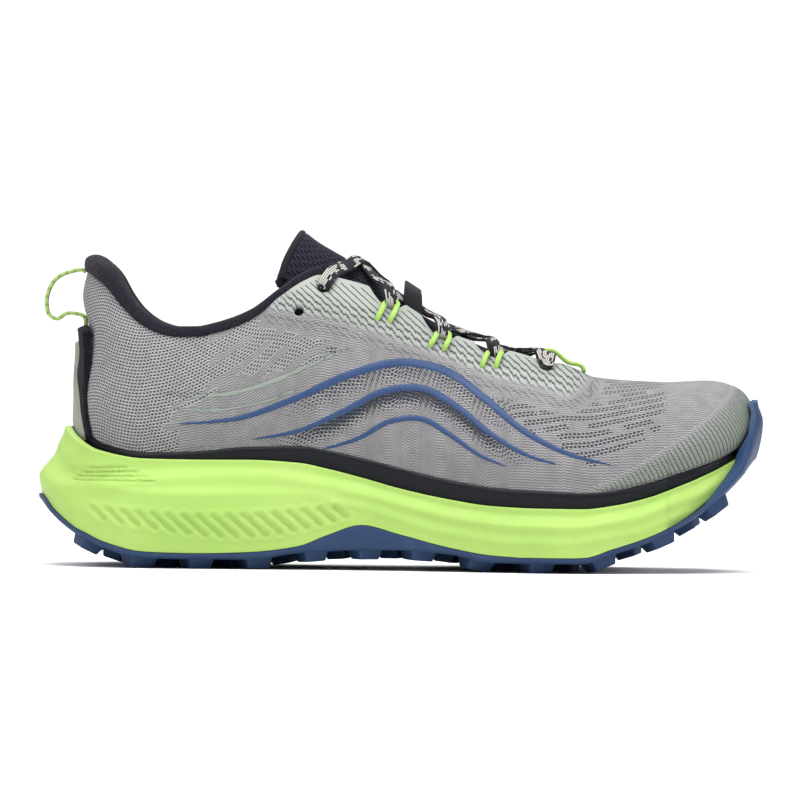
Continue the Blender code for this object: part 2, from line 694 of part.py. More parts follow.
def midsole_rings():
    rows = stations()

    def under(row, side):
        radius = min(sole_radius(row, side) - FOAM_UNDER_INSET, foam_outer(row, side) - FOAM_UNDER_LEDGE)
        low = plate_top(place(row, side, radius)[0])
        return point(row, side, radius, low + GAP * (1 + section("recess", row)))

    def shelf(row, side, inset):
        """Underside that rests on the rubber's rim, lowered to the plate behind the bumper."""
        lowered = max(0.0, 2 * section("recess", row) - 1)
        rim = rim_height(row, side) + GAP
        outer = foam_outer(row, side)
        low = plate_top(place(row, side, outer)[0]) + 2 * GAP + 3 * FOAM_EDGE_SLACK * (1 - inset)
        inward = WING * (1 - lowered) + FOAM_EDGE_SLACK * (1 + 1.25 * (1 - lowered))
        return point(row, side, outer - inset * inward, rim + (low - rim) * lowered)

    def wall(row, side, height, plain, flared):
        recess, flare = section("recess", row), section("flare", row)
        lip, top = foam_top(row, side)
        outer = foam_outer(row, side)
        low = shelf(row, side, 0)[2]
        share = plain + (flared - plain) * flare
        share = min(share, 1.0) if recess else share
        edge = lip + lip_width(row)
        return point(row, side, edge + max(outer - edge, 0) * share, low + (top - low) * height)

    def lip(row, side, out):
        radius, height = foam_top(row, side)
        return point(row, side, radius + out * lip_width(row), height)

    def bed(row, side):
        foot, height = rib(row, side)[0]
        return point(row, side, foot + lip_gap(row), height - GAP)

    rings = [
        around(rows, under),
        around(rows, lambda row, side: shelf(row, side, 1)),
        around(rows, lambda row, side: shelf(row, side, 0)),
    ]
    for height, plain, flared in FOAM_PROFILE[1:]:
        rings.append(around(rows, lambda row, side, h=height, p=plain, f=flared: wall(row, side, h, p, f)))
    rings.append(around(rows, lambda row, side: lip(row, side, 1)))
    rings.append(around(rows, lambda row, side: lip(row, side, 0)))
    rings.append(around(rows, bed))
    return rings


def foam_wall(row, side, height):
    """Radius and height of the foam's side wall at a share of its height."""
    lip, top = foam_top(row, side)
    low = rim_height(row, side) + GAP
    heights, plain = (column(FOAM_PROFILE, FOAM_COLUMNS, name) for name in ("height", "plain"))
    outer = foam_outer(row, side)
    share = float(np.interp(height, heights, plain))
    return lip + LIP + max(outer - lip - LIP, 0) * share, low + (top - low) * height


def rib_cutters():
    """Slanted bars that mould a row of grooves into the foam's wall on both sides."""
    work = bmesh.new()
    for side in (LATERAL, MEDIAL):
        for share in np.linspace(RIBS_FROM, RIBS_TO, RIBS):
            x = (share - 0.5) * SHOE_LENGTH
            ends = []
            for height, shift in ((RIB_LOW, -RIB_SLANT / 2), (RIB_HIGH, RIB_SLANT / 2)):
                row = row_at(x + shift)
                radius, level = foam_wall(row, side, height)
                ends.append(Vector(point(row, side, radius, level)))
            along = (ends[1] - ends[0]).normalized()
            out = Vector((0, side, 0))
            wide = along.cross(out).normalized() * RIB_WIDTH / 2
            deep = out * RIB_CUT
            square = ((-1, -1), (1, -1), (1, 2), (-1, 2))
            corners = [end + wide * a + deep * b for end in ends for a, b in square]
            verts = [work.verts.new(corner) for corner in corners]
            for face in ((0, 1, 2, 3), (4, 7, 6, 5), (0, 4, 5, 1), (1, 5, 6, 2), (2, 6, 7, 3), (3, 7, 4, 0)):
                work.faces.new([verts[i] for i in face])
    mesh = bpy.data.meshes.new("foam_ribs")
    bmesh.ops.recalc_face_normals(work, faces=work.faces)
    work.to_mesh(mesh)
    work.free()
    return add_object("foam_ribs", mesh, CUTTERS)


def add_midsole():
    midsole = lofted("midsole", midsole_rings())
    boolean(midsole, rib_cutters(), "DIFFERENCE")
    material(midsole, "midsole_foam", (0.50, 0.86, 0.16), 0.55)
    return midsole


def add_insole():
    """Thin bed inside the upper's wall."""
    rows = stations()
    inset = WALL / math.cos(math.atan(STRAIGHT_LEAN)) + 2 * GAP

    def edge(row, side, up):
        foot, height = rib(row, side)[0]
        return point(row, side, foot - inset, height + up)

    lower = around(rows, lambda row, side: edge(row, side, 0))
    insole = lofted("insole", [lower, around(rows, lambda row, side: edge(row, side, INSOLE))])
    material(insole, "insole_fabric", (0.03, 0.035, 0.06), 0.9)
    return insole


def upper_surface(name, home=SHOE):
    """Open skin of the upper: rings from the foot bed up to the collar, throat and ridge."""
    rows = stations()
    columns = around(rows, lambda row, side: [point(row, side, r, h) for r, h in rib(row, side)])
    levels = len(columns[0])
    points = [columns[i][level] for level in range(levels) for i in range(len(columns))]
    made = mesh_object(name, points, strips(levels, len(columns)), home)
    work = bmesh.new()
    work.from_mesh(made.data)
    if sum(face.normal.xy.dot(face.calc_center_median().xy) for face in work.faces) < 0:
        bmesh.ops.reverse_faces(work, faces=work.faces)
    bmesh.ops.triangulate(work, faces=work.faces, quad_method="FIXED")
    work.to_mesh(made.data)
    work.free()
    return made


def eyelet_cutters(name):
    """Drills through both sides of the throat at the top and front eyelets."""
    work = bmesh.new()
    for share in (TOP_EYELET_PLACE, FRONT_EYELET_PLACE):
        for side in (LATERAL, MEDIAL):
            centre, normal = throat_spot(loop_x(share), side, EYELET_INSET)
            bore = EYELET_DIAMETER / 2
            made = bmesh.ops.create_cone(
                work, cap_ends=True, segments=10, radius1=bore, radius2=bore, depth=EYELET_DRILL
            )
            turn = normal.to_track_quat("Z", "Y").to_matrix()
            for vert in made["verts"]:
                vert.co = turn @ vert.co + centre
    mesh = bpy.data.meshes.new(name)
    bmesh.ops.recalc_face_normals(work, faces=work.faces)
    work.to_mesh(mesh)
    work.free()
    return add_object(name, mesh, CUTTERS)


@functools.lru_cache(maxsize=None)
def row_at(x):
    """Place between the table's rows whose square section stands at x."""
    rows = np.linspace(4, 16, 481)
    xs = [place(row, LATERAL, 0)[0] for row in rows]
    return float(np.interp(x, xs, rows))


def throat_spot(x, side, inset):
    """Point on the upper's outer face, inset down from the throat's edge at x, and the face's normal."""
    row = row_at(x)
    ribs = np.array(rib(row, side))[::-1]
    reach = np.concatenate([[0], np.cumsum(np.hypot(*np.diff(ribs, axis=0).T))])

    def spot(at, along_row):
        radii, heights = np.array(rib(along_row, side))[::-1].T
        return Vector(point(along_row, side, np.interp(at, reach, radii), np.interp(at, reach, heights)))

    centre = spot(inset, row)
    down = spot(inset + 0.002, row) - spot(inset - 0.002, row)
    forward = spot(inset, row + 0.1) - spot(inset, row - 0.1)
    normal = down.cross(forward).normalized()
    return centre, normal * (1 if normal.z > 0 else -1)


def add_upper():
    upper = upper_surface("upper")
    modifier(upper, "SOLIDIFY", thickness=WALL, offset=-1, use_even_offset=True)
    boolean(upper, eyelet_cutters("upper_eyelet_drills"), "DIFFERENCE")
    material(upper, "upper_knit", (0.52, 0.52, 0.54), 0.85)
    return upper


def prism(name, outline, axis, low, high):
    """Closed block with that outline, as wide along the axis as from low to high."""
    bottom = [(x, low, z) if axis == "Y" else (low, x, z) for x, z in outline]
    top = [(x, high, z) if axis == "Y" else (high, x, z) for x, z in outline]
    size = len(outline)
    faces = [tuple(range(size)), tuple(range(2 * size - 1, size - 1, -1))]
    faces += [(i, (i + 1) % size, size + (i + 1) % size, size + i) for i in range(size)]
    return mesh_object(name, bottom + top, faces, CUTTERS)


def skin_piece(name, stand_off, thickness, cutter, drills=None):
    """Layer on the upper, cut from its own skin grown outwards by the stand-off and the thickness."""
    piece = upper_surface(name)
    lift = modifier(piece, "DISPLACE", strength=stand_off, mid_level=0.0, direction="NORMAL")
    lift.name = "Lift"
    modifier(piece, "SOLIDIFY", thickness=thickness, offset=1, use_even_offset=True)
    boolean(piece, cutter, "INTERSECT")
    if drills:
        boolean(piece, drills, "DIFFERENCE")
    return piece


def side_outline(rows):
    return [((along - 0.5) * SHOE_LENGTH, share * INSTEP_HEIGHT) for along, share in rows]


def add_films():
    reach = SOLE_WIDTH
    drills = eyelet_cutters("film_eyelet_drills")
    eyestay_outline = prism("eyestay_outline", side_outline(EYESTAY_OUTLINE), "Y", -reach, reach)
    eyestay = skin_piece("eyestay", GAP, FILM, eyestay_outline, drills)
    material(eyestay, "mint_film", (0.56, 0.61, 0.56), 0.5)
    foot = [(share - 0.5) * SHOE_LENGTH for share in np.linspace(*TOE_CAP_FOOT, 12)]
    above_rand = [(x, side_line("band", x) + TOE_CAP_OFF_RAND) for x in foot]
    outline = side_outline(TOE_CAP_OUTLINE) + above_rand
    toe_cap = skin_piece("toe_cap", GAP, FILM, prism("toe_cap_outline", outline, "Y", -reach, reach))
    material(toe_cap, "mint_film", (0.56, 0.61, 0.56), 0.5)
    return [eyestay, toe_cap]


def add_rand():
    """Dark band round the upper above the sole, open at the heel's back."""
    rows = [row for row in stations() if row >= 2.5]

    def ring(row, side):
        (foot, bed), (straight, top) = rib(row, side)[:2]
        lean = (straight - foot) / (top - bed)
        low = bed + RAND_FOOT
        low_radius = foot + lean * (low - bed)
        return [
            point(row, side, low_radius + GAP, low),
            point(row, side, straight + GAP, top),
            point(row, side, straight + GAP + RAND * RAND_TAPER, top),
            point(row, side, low_radius + GAP + RAND, low),
        ]

    path = [ring(row, LATERAL) for row in rows] + [ring(row, MEDIAL) for row in rows[-2::-1]]
    rand = swept("rand", path)
    material(rand, "rand_film", (0.02, 0.022, 0.035), 0.35)
    return rand


def swept(name, path, home=SHOE):
    """Solid through open sections of equal point counts, with flat ends."""
    size = len(path[0])
    faces = strips(len(path), size)
    last = (len(path) - 1) * size
    faces += [tuple(range(size)), tuple(last + i for i in reversed(range(size)))]
    return mesh_object(name, [p for ring in path for p in ring], faces, home)


def add_collar():
    """Padded roll along the collar's edge, hooked over the inside of the wall."""
    rows = [row for row in stations() if row < COLLAR_END] + [COLLAR_END]
    along = column(COLLAR_ROLL, COLLAR_COLUMNS, "along")

    def ring(row, side):
        ribs = np.array(rib(row, side))
        (radius, height), (below, below_height) = ribs[-1], ribs[-3]
        up = np.array([radius - below, height - below_height])
        up /= np.linalg.norm(up)
        out = np.array([up[1], -up[0]])
        x = place(row, side, radius)[0] / SHOE_LENGTH + 0.5
        rise = float(curve(along, column(COLLAR_ROLL, COLLAR_COLUMNS, "height"), x))
        thick = float(curve(along, column(COLLAR_ROLL, COLLAR_COLUMNS, "thickness"), x))
        inside = WALL + GAP
        shape = [(proud, rise * share) for proud, share in COLLAR_OUTSIDE]
        shape += [(-thick * deep, rise * share) for deep, share in COLLAR_TOP]
        shape += [(-thick * COLLAR_DRAFT, -COLLAR_TUCK * 0.8), (-inside, -COLLAR_TUCK), (-inside, GAP)]
        return [point(row, side, *(ribs[-1] + out * o + up * u)) for o, u in shape]

    path = [ring(row, LATERAL) for row in rows[::-1]] + [ring(row, MEDIAL) for row in rows[1:]]
    collar = swept("collar", path)
    material(collar, "collar_fabric", (0.035, 0.03, 0.055), 0.9)
    return collar


@functools.lru_cache(maxsize=None)
def tongue_frame(at):
    """The tongue's columns, by name, at a place along its rows."""
    rows = range(len(TONGUE))
    return {name: float(curve(rows, column(TONGUE, TONGUE_COLUMNS, name), at)) for name in TONGUE_COLUMNS}


@functools.lru_cache(maxsize=None)
def tongue_centre(at):
    along = column(TONGUE, TONGUE_COLUMNS, "along")
    height = column(TONGUE, TONGUE_COLUMNS, "height")
    x = (float(spline(range(len(TONGUE)), along, [at])[0]) - 0.5) * SHOE_LENGTH
    return np.array([x, float(spline(range(len(TONGUE)), height, [at])[0]) * INSTEP_HEIGHT])


def tongue_point(at, across_share, depth):
    """Point of the tongue: a share across its half width, a depth under its outer face."""
    values = tongue_frame(at)
    centre = tongue_centre(at)
    along = tongue_centre(min(at + 0.05, len(TONGUE) - 1)) - tongue_centre(max(at - 0.05, 0))
    along /= np.linalg.norm(along)
    normal = np.array([-along[1], along[0]])
    normal *= 1 if normal[1] > 0 else -1
    half = values["half_width"] * LAST_WIDTH / 2
    drop = values["sag"] * INSTEP_HEIGHT * across_share**2 + depth
    narrow = 1 - depth / half * 0.8
    x, z = centre - normal * drop
    return (x, throat_middle(x) + across_share * half * narrow, z)


def add_tongue():
    places = np.linspace(0, len(TONGUE) - 1, TONGUE_RINGS)
    shares = [math.sin(math.pi * (i / TONGUE_ACROSS - 0.5)) for i in range(TONGUE_ACROSS + 1)]
    path = []
    for at in places:
        thick = tongue_frame(at)["thickness"]
        outer = [tongue_point(at, share, 0) for share in shares]
        path.append(outer + [tongue_point(at, share, thick) for share in reversed(shares)])
    tongue = swept("tongue", path)
    material(tongue, "tongue_mesh", (0.03, 0.028, 0.05), 0.9)
    return tongue


def add_heel_layers():
    """Dark tape up the heel's back and the pale guard with its waist over it."""
    width = section("feather", 4) * LAST_WIDTH / 2
    centre = raw_place(0, LATERAL, 0)[1] - MIDDLE_Y

    def outline(rows):
        right = [(centre + share * width, height * HEEL_HEIGHT) for share, height in rows]
        return right + [(2 * centre - y, z) for y, z in reversed(right)]

    back = -SHOE_LENGTH
    front = place(4, LATERAL, 0)[0]
    tape_outline = prism("tape_outline", outline(HEEL_TAPE_OUTLINE), "X", back, front)
    tape = skin_piece("heel_tape", GAP, HEEL_TAPE, tape_outline)
    material(tape, "heel_tape_pile", (0.01, 0.01, 0.016), 0.95)
    guard_outline = prism("guard_outline", outline(HEEL_GUARD_OUTLINE), "X", back, front)
    guard = skin_piece("heel_guard", 2 * GAP + HEEL_TAPE, HEEL_GUARD, guard_outline)
    material(guard, "mint_film", (0.56, 0.61, 0.56), 0.5)
    return [tape, guard]


def add_pull_loop():
    """Webbing loop behind the heel, its ends against the upper."""

    def against(share):
        height = share * HEEL_HEIGHT
        back = place(0, LATERAL, rib_radius(0, LATERAL, height))[0]
        return back - 1.6 * GAP - PULL_THICKNESS / 2, height

    top, low = PULL_ENDS
    path = [against(top), against(top + 0.006)]
    path += [((along - 0.5) * SHOE_LENGTH, share * HEEL_HEIGHT) for along, share in PULL_LOOP]
    path = np.array(path + [against(low + 0.03), against(low)])
    reach = np.concatenate([[0], np.cumsum(np.hypot(*np.diff(path, axis=0).T))])
    at = np.linspace(0, reach[-1], PULL_RINGS)
    points = np.stack([spline(reach, path[:, 0], at), spline(reach, path[:, 1], at)], 1)
    along = np.gradient(points, axis=0)
    along /= np.linalg.norm(along, axis=1)[:, None]
    normal = np.stack([-along[:, 1], along[:, 0]], 1) * PULL_THICKNESS / 2
    ends = [-PULL_WIDTH / 2, PULL_WIDTH / 2]
    rings = []
    for centre, off in zip(points, normal):
        outer, inner = centre + off, centre - off
        corners = [(outer, ends[0]), (outer, ends[1]), (inner, ends[1]), (inner, ends[0])]
        rings.append([(p[0], y, p[1]) for p, y in corners])
    loop = swept("pull_loop", rings)
    material(loop, "pull_webbing", (0.62, 0.78, 0.30), 0.8)
    return loop


def tongue_height(x, y):
    """Height of the tongue's outer face over the point (x, y)."""
    places = np.linspace(0, len(TONGUE) - 1, 67)
    centres = [tongue_centre(at)[0] for at in places]
    aim = x
    for _ in range(4):
        at = float(np.interp(-aim, [-c for c in centres], places))
        half = tongue_frame(at)["half_width"] * LAST_WIDTH / 2
        found = tongue_point(at, max(-1.0, min(1.0, (y - throat_middle(x)) / half)), 0)
        aim += x - found[0]
    return found[2]


def throat_middle(x):
    return section("shift", row_at(x)) * LAST_WIDTH / 2 - MIDDLE_Y


def throat_axes(x, side):
    """Edge of the throat at x, with the directions out of the surface and inward past the edge."""
    edge, normal = throat_spot(x, side, 0.0)
    below, _ = throat_spot(x, side, 0.003)
    inward = (edge - below).normalized()
    return edge, normal, inward


def tube(name, path, normals, size, home=SHOE, widths=None, shape=CORD_SECTION):
    """Solid along the path with that section, its width square to the normals."""
    rings = []
    widths = widths or [1.0] * len(path)
    for i, (centre, normal) in enumerate(zip(path, normals)):
        along = (path[min(i + 1, len(path) - 1)] - path[max(i - 1, 0)]).normalized()
        wide = along.cross(normal).normalized()
        thick = wide.cross(along).normalized()
        rings.append([centre + wide * a * size[0] * widths[i] + thick * b * size[1] for a, b in shape])
    return swept(name, [[tuple(p) for p in ring] for ring in rings], home)


def loop_bend(share, side):
    """Middle of a lace loop's bend, with the directions out of the surface and inward."""
    edge, normal, inward = throat_axes(loop_x(share), side)
    return edge + inward * LOOP_BEND + normal * LOOP_LIFT, normal, inward


def add_lace_loop(name, share, side):
    """Cord from the eyestay up over the throat's edge and back."""
    lift = FILM + 4.5 * GAP + LOOP_CORD / 2
    bend, normal, inward = loop_bend(share, side)
    legs = []
    for end in (-1, 1):
        x = loop_x(share) + end * LOOP_SPAN / 2
        foot, out = throat_spot(x, side, LOOP_REACH - NOTCH_DEPTH)
        edge, edge_out = throat_spot(x, side, 0.001)
        forward = Vector((end, 0, 0))
        corner = bend + forward * (LOOP_SPAN / 2 - 0.0002) - inward * 0.0011
        shoulder = edge + edge_out * (lift + 0.0004)
        legs.append([foot + out * lift, shoulder, corner, bend + forward * LOOP_SPAN * 0.38])
    path = legs[0] + legs[1][::-1]
    loop = tube(name, path, [normal] * len(path), LOOP_SECTION_SIZE)
    material(loop, "loop_cord", (0.50, 0.86, 0.16), 0.7)
    return loop


def add_front_loop():
    """Cord loop at the foot of the throat, over the first bar of the laces."""
    half = FRONT_LOOP_SPAN / 2
    on_film = [((along - 0.5) * SHOE_LENGTH, rise) for along, rise in FRONT_LOOP_ON_FILM]
    over_bar = [((along - 0.5) * SHOE_LENGTH, share) for along, share in FRONT_LOOP_OVER_BAR]
    film = throat_spot(on_film[-1][0], LATERAL, 0.0)[0].z + FILM + GAP + LOOP_CORD / 2
    bar = lace_bar_height() + LACE_THICKNESS / 2 + GAP + LOOP_CORD / 2 + FRONT_LOOP_OFF_BAR
    side_path = [Vector((x, half, film + rise)) for x, rise in on_film]
    side_path += [Vector((x, half * share, bar)) for x, share in over_bar]
    middle = Vector((0, throat_middle(over_bar[0][0]), 0))
    path = [p + middle for p in side_path]
    path += [Vector((p.x, -p.y, p.z)) + middle for p in side_path[-2::-1]]
    upward = Vector((FRONT_LOOP_TILT, 0, 1)).normalized()
    loop = tube("lace_loop_front", path, [upward] * len(path), LOOP_SECTION_SIZE)
    material(loop, "loop_cord", (0.50, 0.86, 0.16), 0.7)
    return loop


def lace_bar_height():
    x = loop_x(FRONT_EYELET_PLACE)
    over_tongue = tongue_height(x, throat_middle(x)) + LACE_OFF_TONGUE
    return max(over_tongue, top_line(x) + FILM + 4 * GAP) + LACE_THICKNESS / 2


def lace_path(start_side):
    """Half of the lacing: top eyelet, across through the loops, front eyelet and half the first bar."""
    turn = LACE_THICKNESS / 2 + LOOP_CORD / 2 + GAP + LACE_EASE
    film = FILM + 2 * GAP + LACE_THICKNESS / 2
    over_film, over_edge = film + 2 * LACE_OFF_FILM, film + LACE_OFF_EDGE
    nodes = []
    side = start_side
    x = loop_x(TOP_EYELET_PLACE)
    spot, out = throat_spot(x, side, EYELET_INSET)
    nodes.append((spot + out * film, out))
    edge, out, inward = throat_axes(x + LOOP_SPAN * 0.4, side)
    nodes.append((edge + out * over_edge, out))
    nodes.append((edge + inward * LACE_LEVEL + out * over_film, out))
    facing = 1
    for share in LOOP_PLACES:
        side = -side
        bend, out, inward = loop_bend(share, side)
        back, ahead = Vector((-LACE_TURN_SPREAD, 0, 0)), Vector((LACE_TURN_SPREAD, 0, 0))
        above, below = bend + out * turn + back, bend - out * turn + ahead
        tuck, twist = inward * turn * LACE_TURN_TUCK, inward * LACE_TURN_TWIST
        nodes.append((above + inward * LACE_LEVEL, out * facing))
        nodes.append((above - tuck, (out - twist) * facing, LACE_PINCH))
        nodes.append((bend - inward * turn, -inward * facing, LACE_PINCH))
        nodes.append((below - tuck, (-out - twist) * facing, LACE_PINCH))
        nodes.append((below + inward * LACE_LEVEL, -out * facing))
        facing = -facing
    side = -side
    x = loop_x(FRONT_EYELET_PLACE)
    edge, out, inward = throat_axes(x - LOOP_SPAN * 0.4, side)
    nodes.append((edge + inward * LACE_LEVEL + out * over_film, out * facing))
    spot, out = throat_spot(x, side, EYELET_INSET * 0.8)
    nodes.append((spot + out * (film + LACE_OFF_FILM), out * facing))
    edge, out, inward = throat_axes(x + LACE_TURN_SPREAD, side)
    nodes.append((edge + inward * LACE_LEVEL * 0.75 + out * over_edge, out * facing))
    bar = Vector((x + LACE_TURN_SPREAD, throat_middle(x) - side * OVER_AND_UNDER / 2, lace_bar_height()))
    nodes.append((bar, Vector((0.33, 0, 1)) * facing))
    return nodes


def lace_half(name, start_side, home=SHOE):
    """Flat lace along its path, lifted clear of the tongue between the loops."""
    nodes = lace_path(start_side)
    over = OVER_AND_UNDER * (1 if start_side == LATERAL else -1)
    clear = LACE_THICKNESS / 2 + LACE_OFF_TONGUE + OVER_AND_UNDER
    path, normals, widths = [], [], []
    for i, (here, normal, *pinch) in enumerate(nodes):
        path.append(here)
        normals.append(normal.normalized())
        widths.append(pinch[0] if pinch else 1.0)
        if i + 1 == len(nodes):
            continue
        there, next_normal = nodes[i + 1][:2]
        middle = throat_middle(here.x)
        if (here.y - middle) * (there.y - middle) < 0:
            for share in (0.25, 0.5, 0.75):
                spot = here.lerp(there, share)
                floor = tongue_height(spot.x, spot.y) + clear
                spot.z = max(spot.z - LACE_SAG, floor) + over * math.sin(math.pi * share)
                path.append(spot)
                normals.append(normal.lerp(next_normal, share).normalized())
                widths.append(1.0)
    return tube(name, path, normals, (LACE_WIDTH, LACE_THICKNESS), home, widths, LACE_SECTION)


def add_laces():
    laces = lace_half("laces", LATERAL)
    boolean(laces, lace_half("laces_other_half", MEDIAL, CUTTERS), "UNION")
    material(laces, "lace_weave", (0.10, 0.10, 0.11), 0.85)
    return laces


def add_keeper():
    """Webbing that bridges the crossed laces, its feet on the tongue."""
    x = loop_x(KEEPER_PLACE)
    middle = throat_middle(x)
    reach = KEEPER_WIDTH / 2
    slope = (tongue_height(x + reach, middle) - tongue_height(x - reach, middle)) / KEEPER_WIDTH
    top = tongue_height(x, middle) + KEEPER_RISE
    half = KEEPER_SPAN / 2
    corners = [(dx, end * half) for dx in (-reach, reach) for end in (-1, 1)]
    low = min(tongue_height(x + dx, middle + dy) - slope * dx for dx, dy in corners) + KEEPER_LIFT
    inner = [(y * half, low + (top - low) * share) for y, share in KEEPER_ARCH]
    rings = []
    for i, (y, z) in enumerate(inner):
        before, after = inner[max(i - 1, 0)], inner[min(i + 1, len(inner) - 1)]
        along = np.array([after[0] - before[0], after[1] - before[1]])
        along /= np.linalg.norm(along)
        out = np.array([-along[1], along[0]]) * KEEPER_WEBBING
        ring = []
        for dx, thick in ((-0.5, 0), (0.5, 0), (0.5, 1), (-0.5, 1)):
            ring.append((
                x + dx * KEEPER_WIDTH,
                middle + y + out[0] * thick,
                z + out[1] * thick + slope * dx * KEEPER_WIDTH,
            ))
        rings.append(ring)
    keeper = swept("lace_keeper", rings)
    material(keeper, "keeper_webbing", (0.015, 0.015, 0.02), 0.85)
    return keeper


def clear_scene():
    for old in list(bpy.data.objects):
        bpy.data.objects.remove(old, do_unlink=True)


def main():
    clear_scene()
    made = [add_outsole(), add_midsole(), add_insole(), add_upper(), *add_films(), add_rand(), add_collar()]
    made += [add_tongue(), *add_heel_layers(), add_pull_loop()]
    for number, share in enumerate(LOOP_PLACES, 1):
        made.append(add_lace_loop(f"lace_loop_outer_{number}", share, LATERAL))
        made.append(add_lace_loop(f"lace_loop_inner_{number}", share, MEDIAL))
    made += [add_front_loop(), add_laces(), add_keeper()]
    for piece in made:
        smooth_shaded(piece)


main()
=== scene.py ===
import functools
import math

import bmesh
import bpy
import numpy as np
from mathutils import Matrix, Vector


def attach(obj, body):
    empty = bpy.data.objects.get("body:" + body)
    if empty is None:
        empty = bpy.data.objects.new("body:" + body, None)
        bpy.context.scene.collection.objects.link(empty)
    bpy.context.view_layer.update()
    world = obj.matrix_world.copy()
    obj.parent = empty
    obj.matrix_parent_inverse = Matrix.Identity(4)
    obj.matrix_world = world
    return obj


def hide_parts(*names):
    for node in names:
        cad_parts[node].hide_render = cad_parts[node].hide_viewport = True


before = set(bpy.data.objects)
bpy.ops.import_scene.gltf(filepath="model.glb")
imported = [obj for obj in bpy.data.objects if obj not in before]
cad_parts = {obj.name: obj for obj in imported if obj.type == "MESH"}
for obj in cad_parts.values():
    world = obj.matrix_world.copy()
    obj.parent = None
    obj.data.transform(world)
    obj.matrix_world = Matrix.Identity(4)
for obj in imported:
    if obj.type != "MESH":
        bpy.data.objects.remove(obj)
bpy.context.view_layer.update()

# Looks of the trail running shoe. The shape functions repeat the CAD's own tables and formulas, read at
# many more places, so each dense piece lies where its solid lies. Lengths are in metres unless a name
# says otherwise; the toe points along +X, the outer side faces -Y and the floor is at z = 0.

# The CAD's driving sizes
SHOE_LENGTH = 0.300
LAST_WIDTH = 0.104
SOLE_OVERHANG = 0.008
SOLE_WIDTH = LAST_WIDTH + SOLE_OVERHANG
SOLE_HEIGHT = 0.0446
HEEL_HEIGHT = 0.122
INSTEP_HEIGHT = 0.119
TOE_HEIGHT = 0.0785
GAP = 0.0003
WALL = 0.0025
PLATE = 0.0022
LUG_DEPTH = 0.004
LIP = 0.0028
WING = 0.0030
RAND = 0.0010
FILM = 0.0008
INSOLE = 0.0040
HEEL_TAPE = 0.0014
HEEL_GUARD = 0.0012
STRAIGHT_LEAN = 0.13
LIP_REVEAL = 0.0022
BUMPER_TOP = 0.0715
BUMPER_MIDDLE = 0.0630
BUMPER = 0.0020
BUMPER_STAND_OFF = 0.00305
FOAM_EDGE_SLACK = 0.0004
LACE_WIDTH = 0.0058
LACE_PINCH = 0.78
OVER_AND_UNDER = 0.0010
LOOP_CORD = 0.0018
LOOP_PLACES = (0.476, 0.547, 0.620)
TOP_EYELET_PLACE = 0.388
FRONT_EYELET_PLACE = 0.694
EYELET_DIAMETER = 0.0046
EYELET_INSET = 0.0065

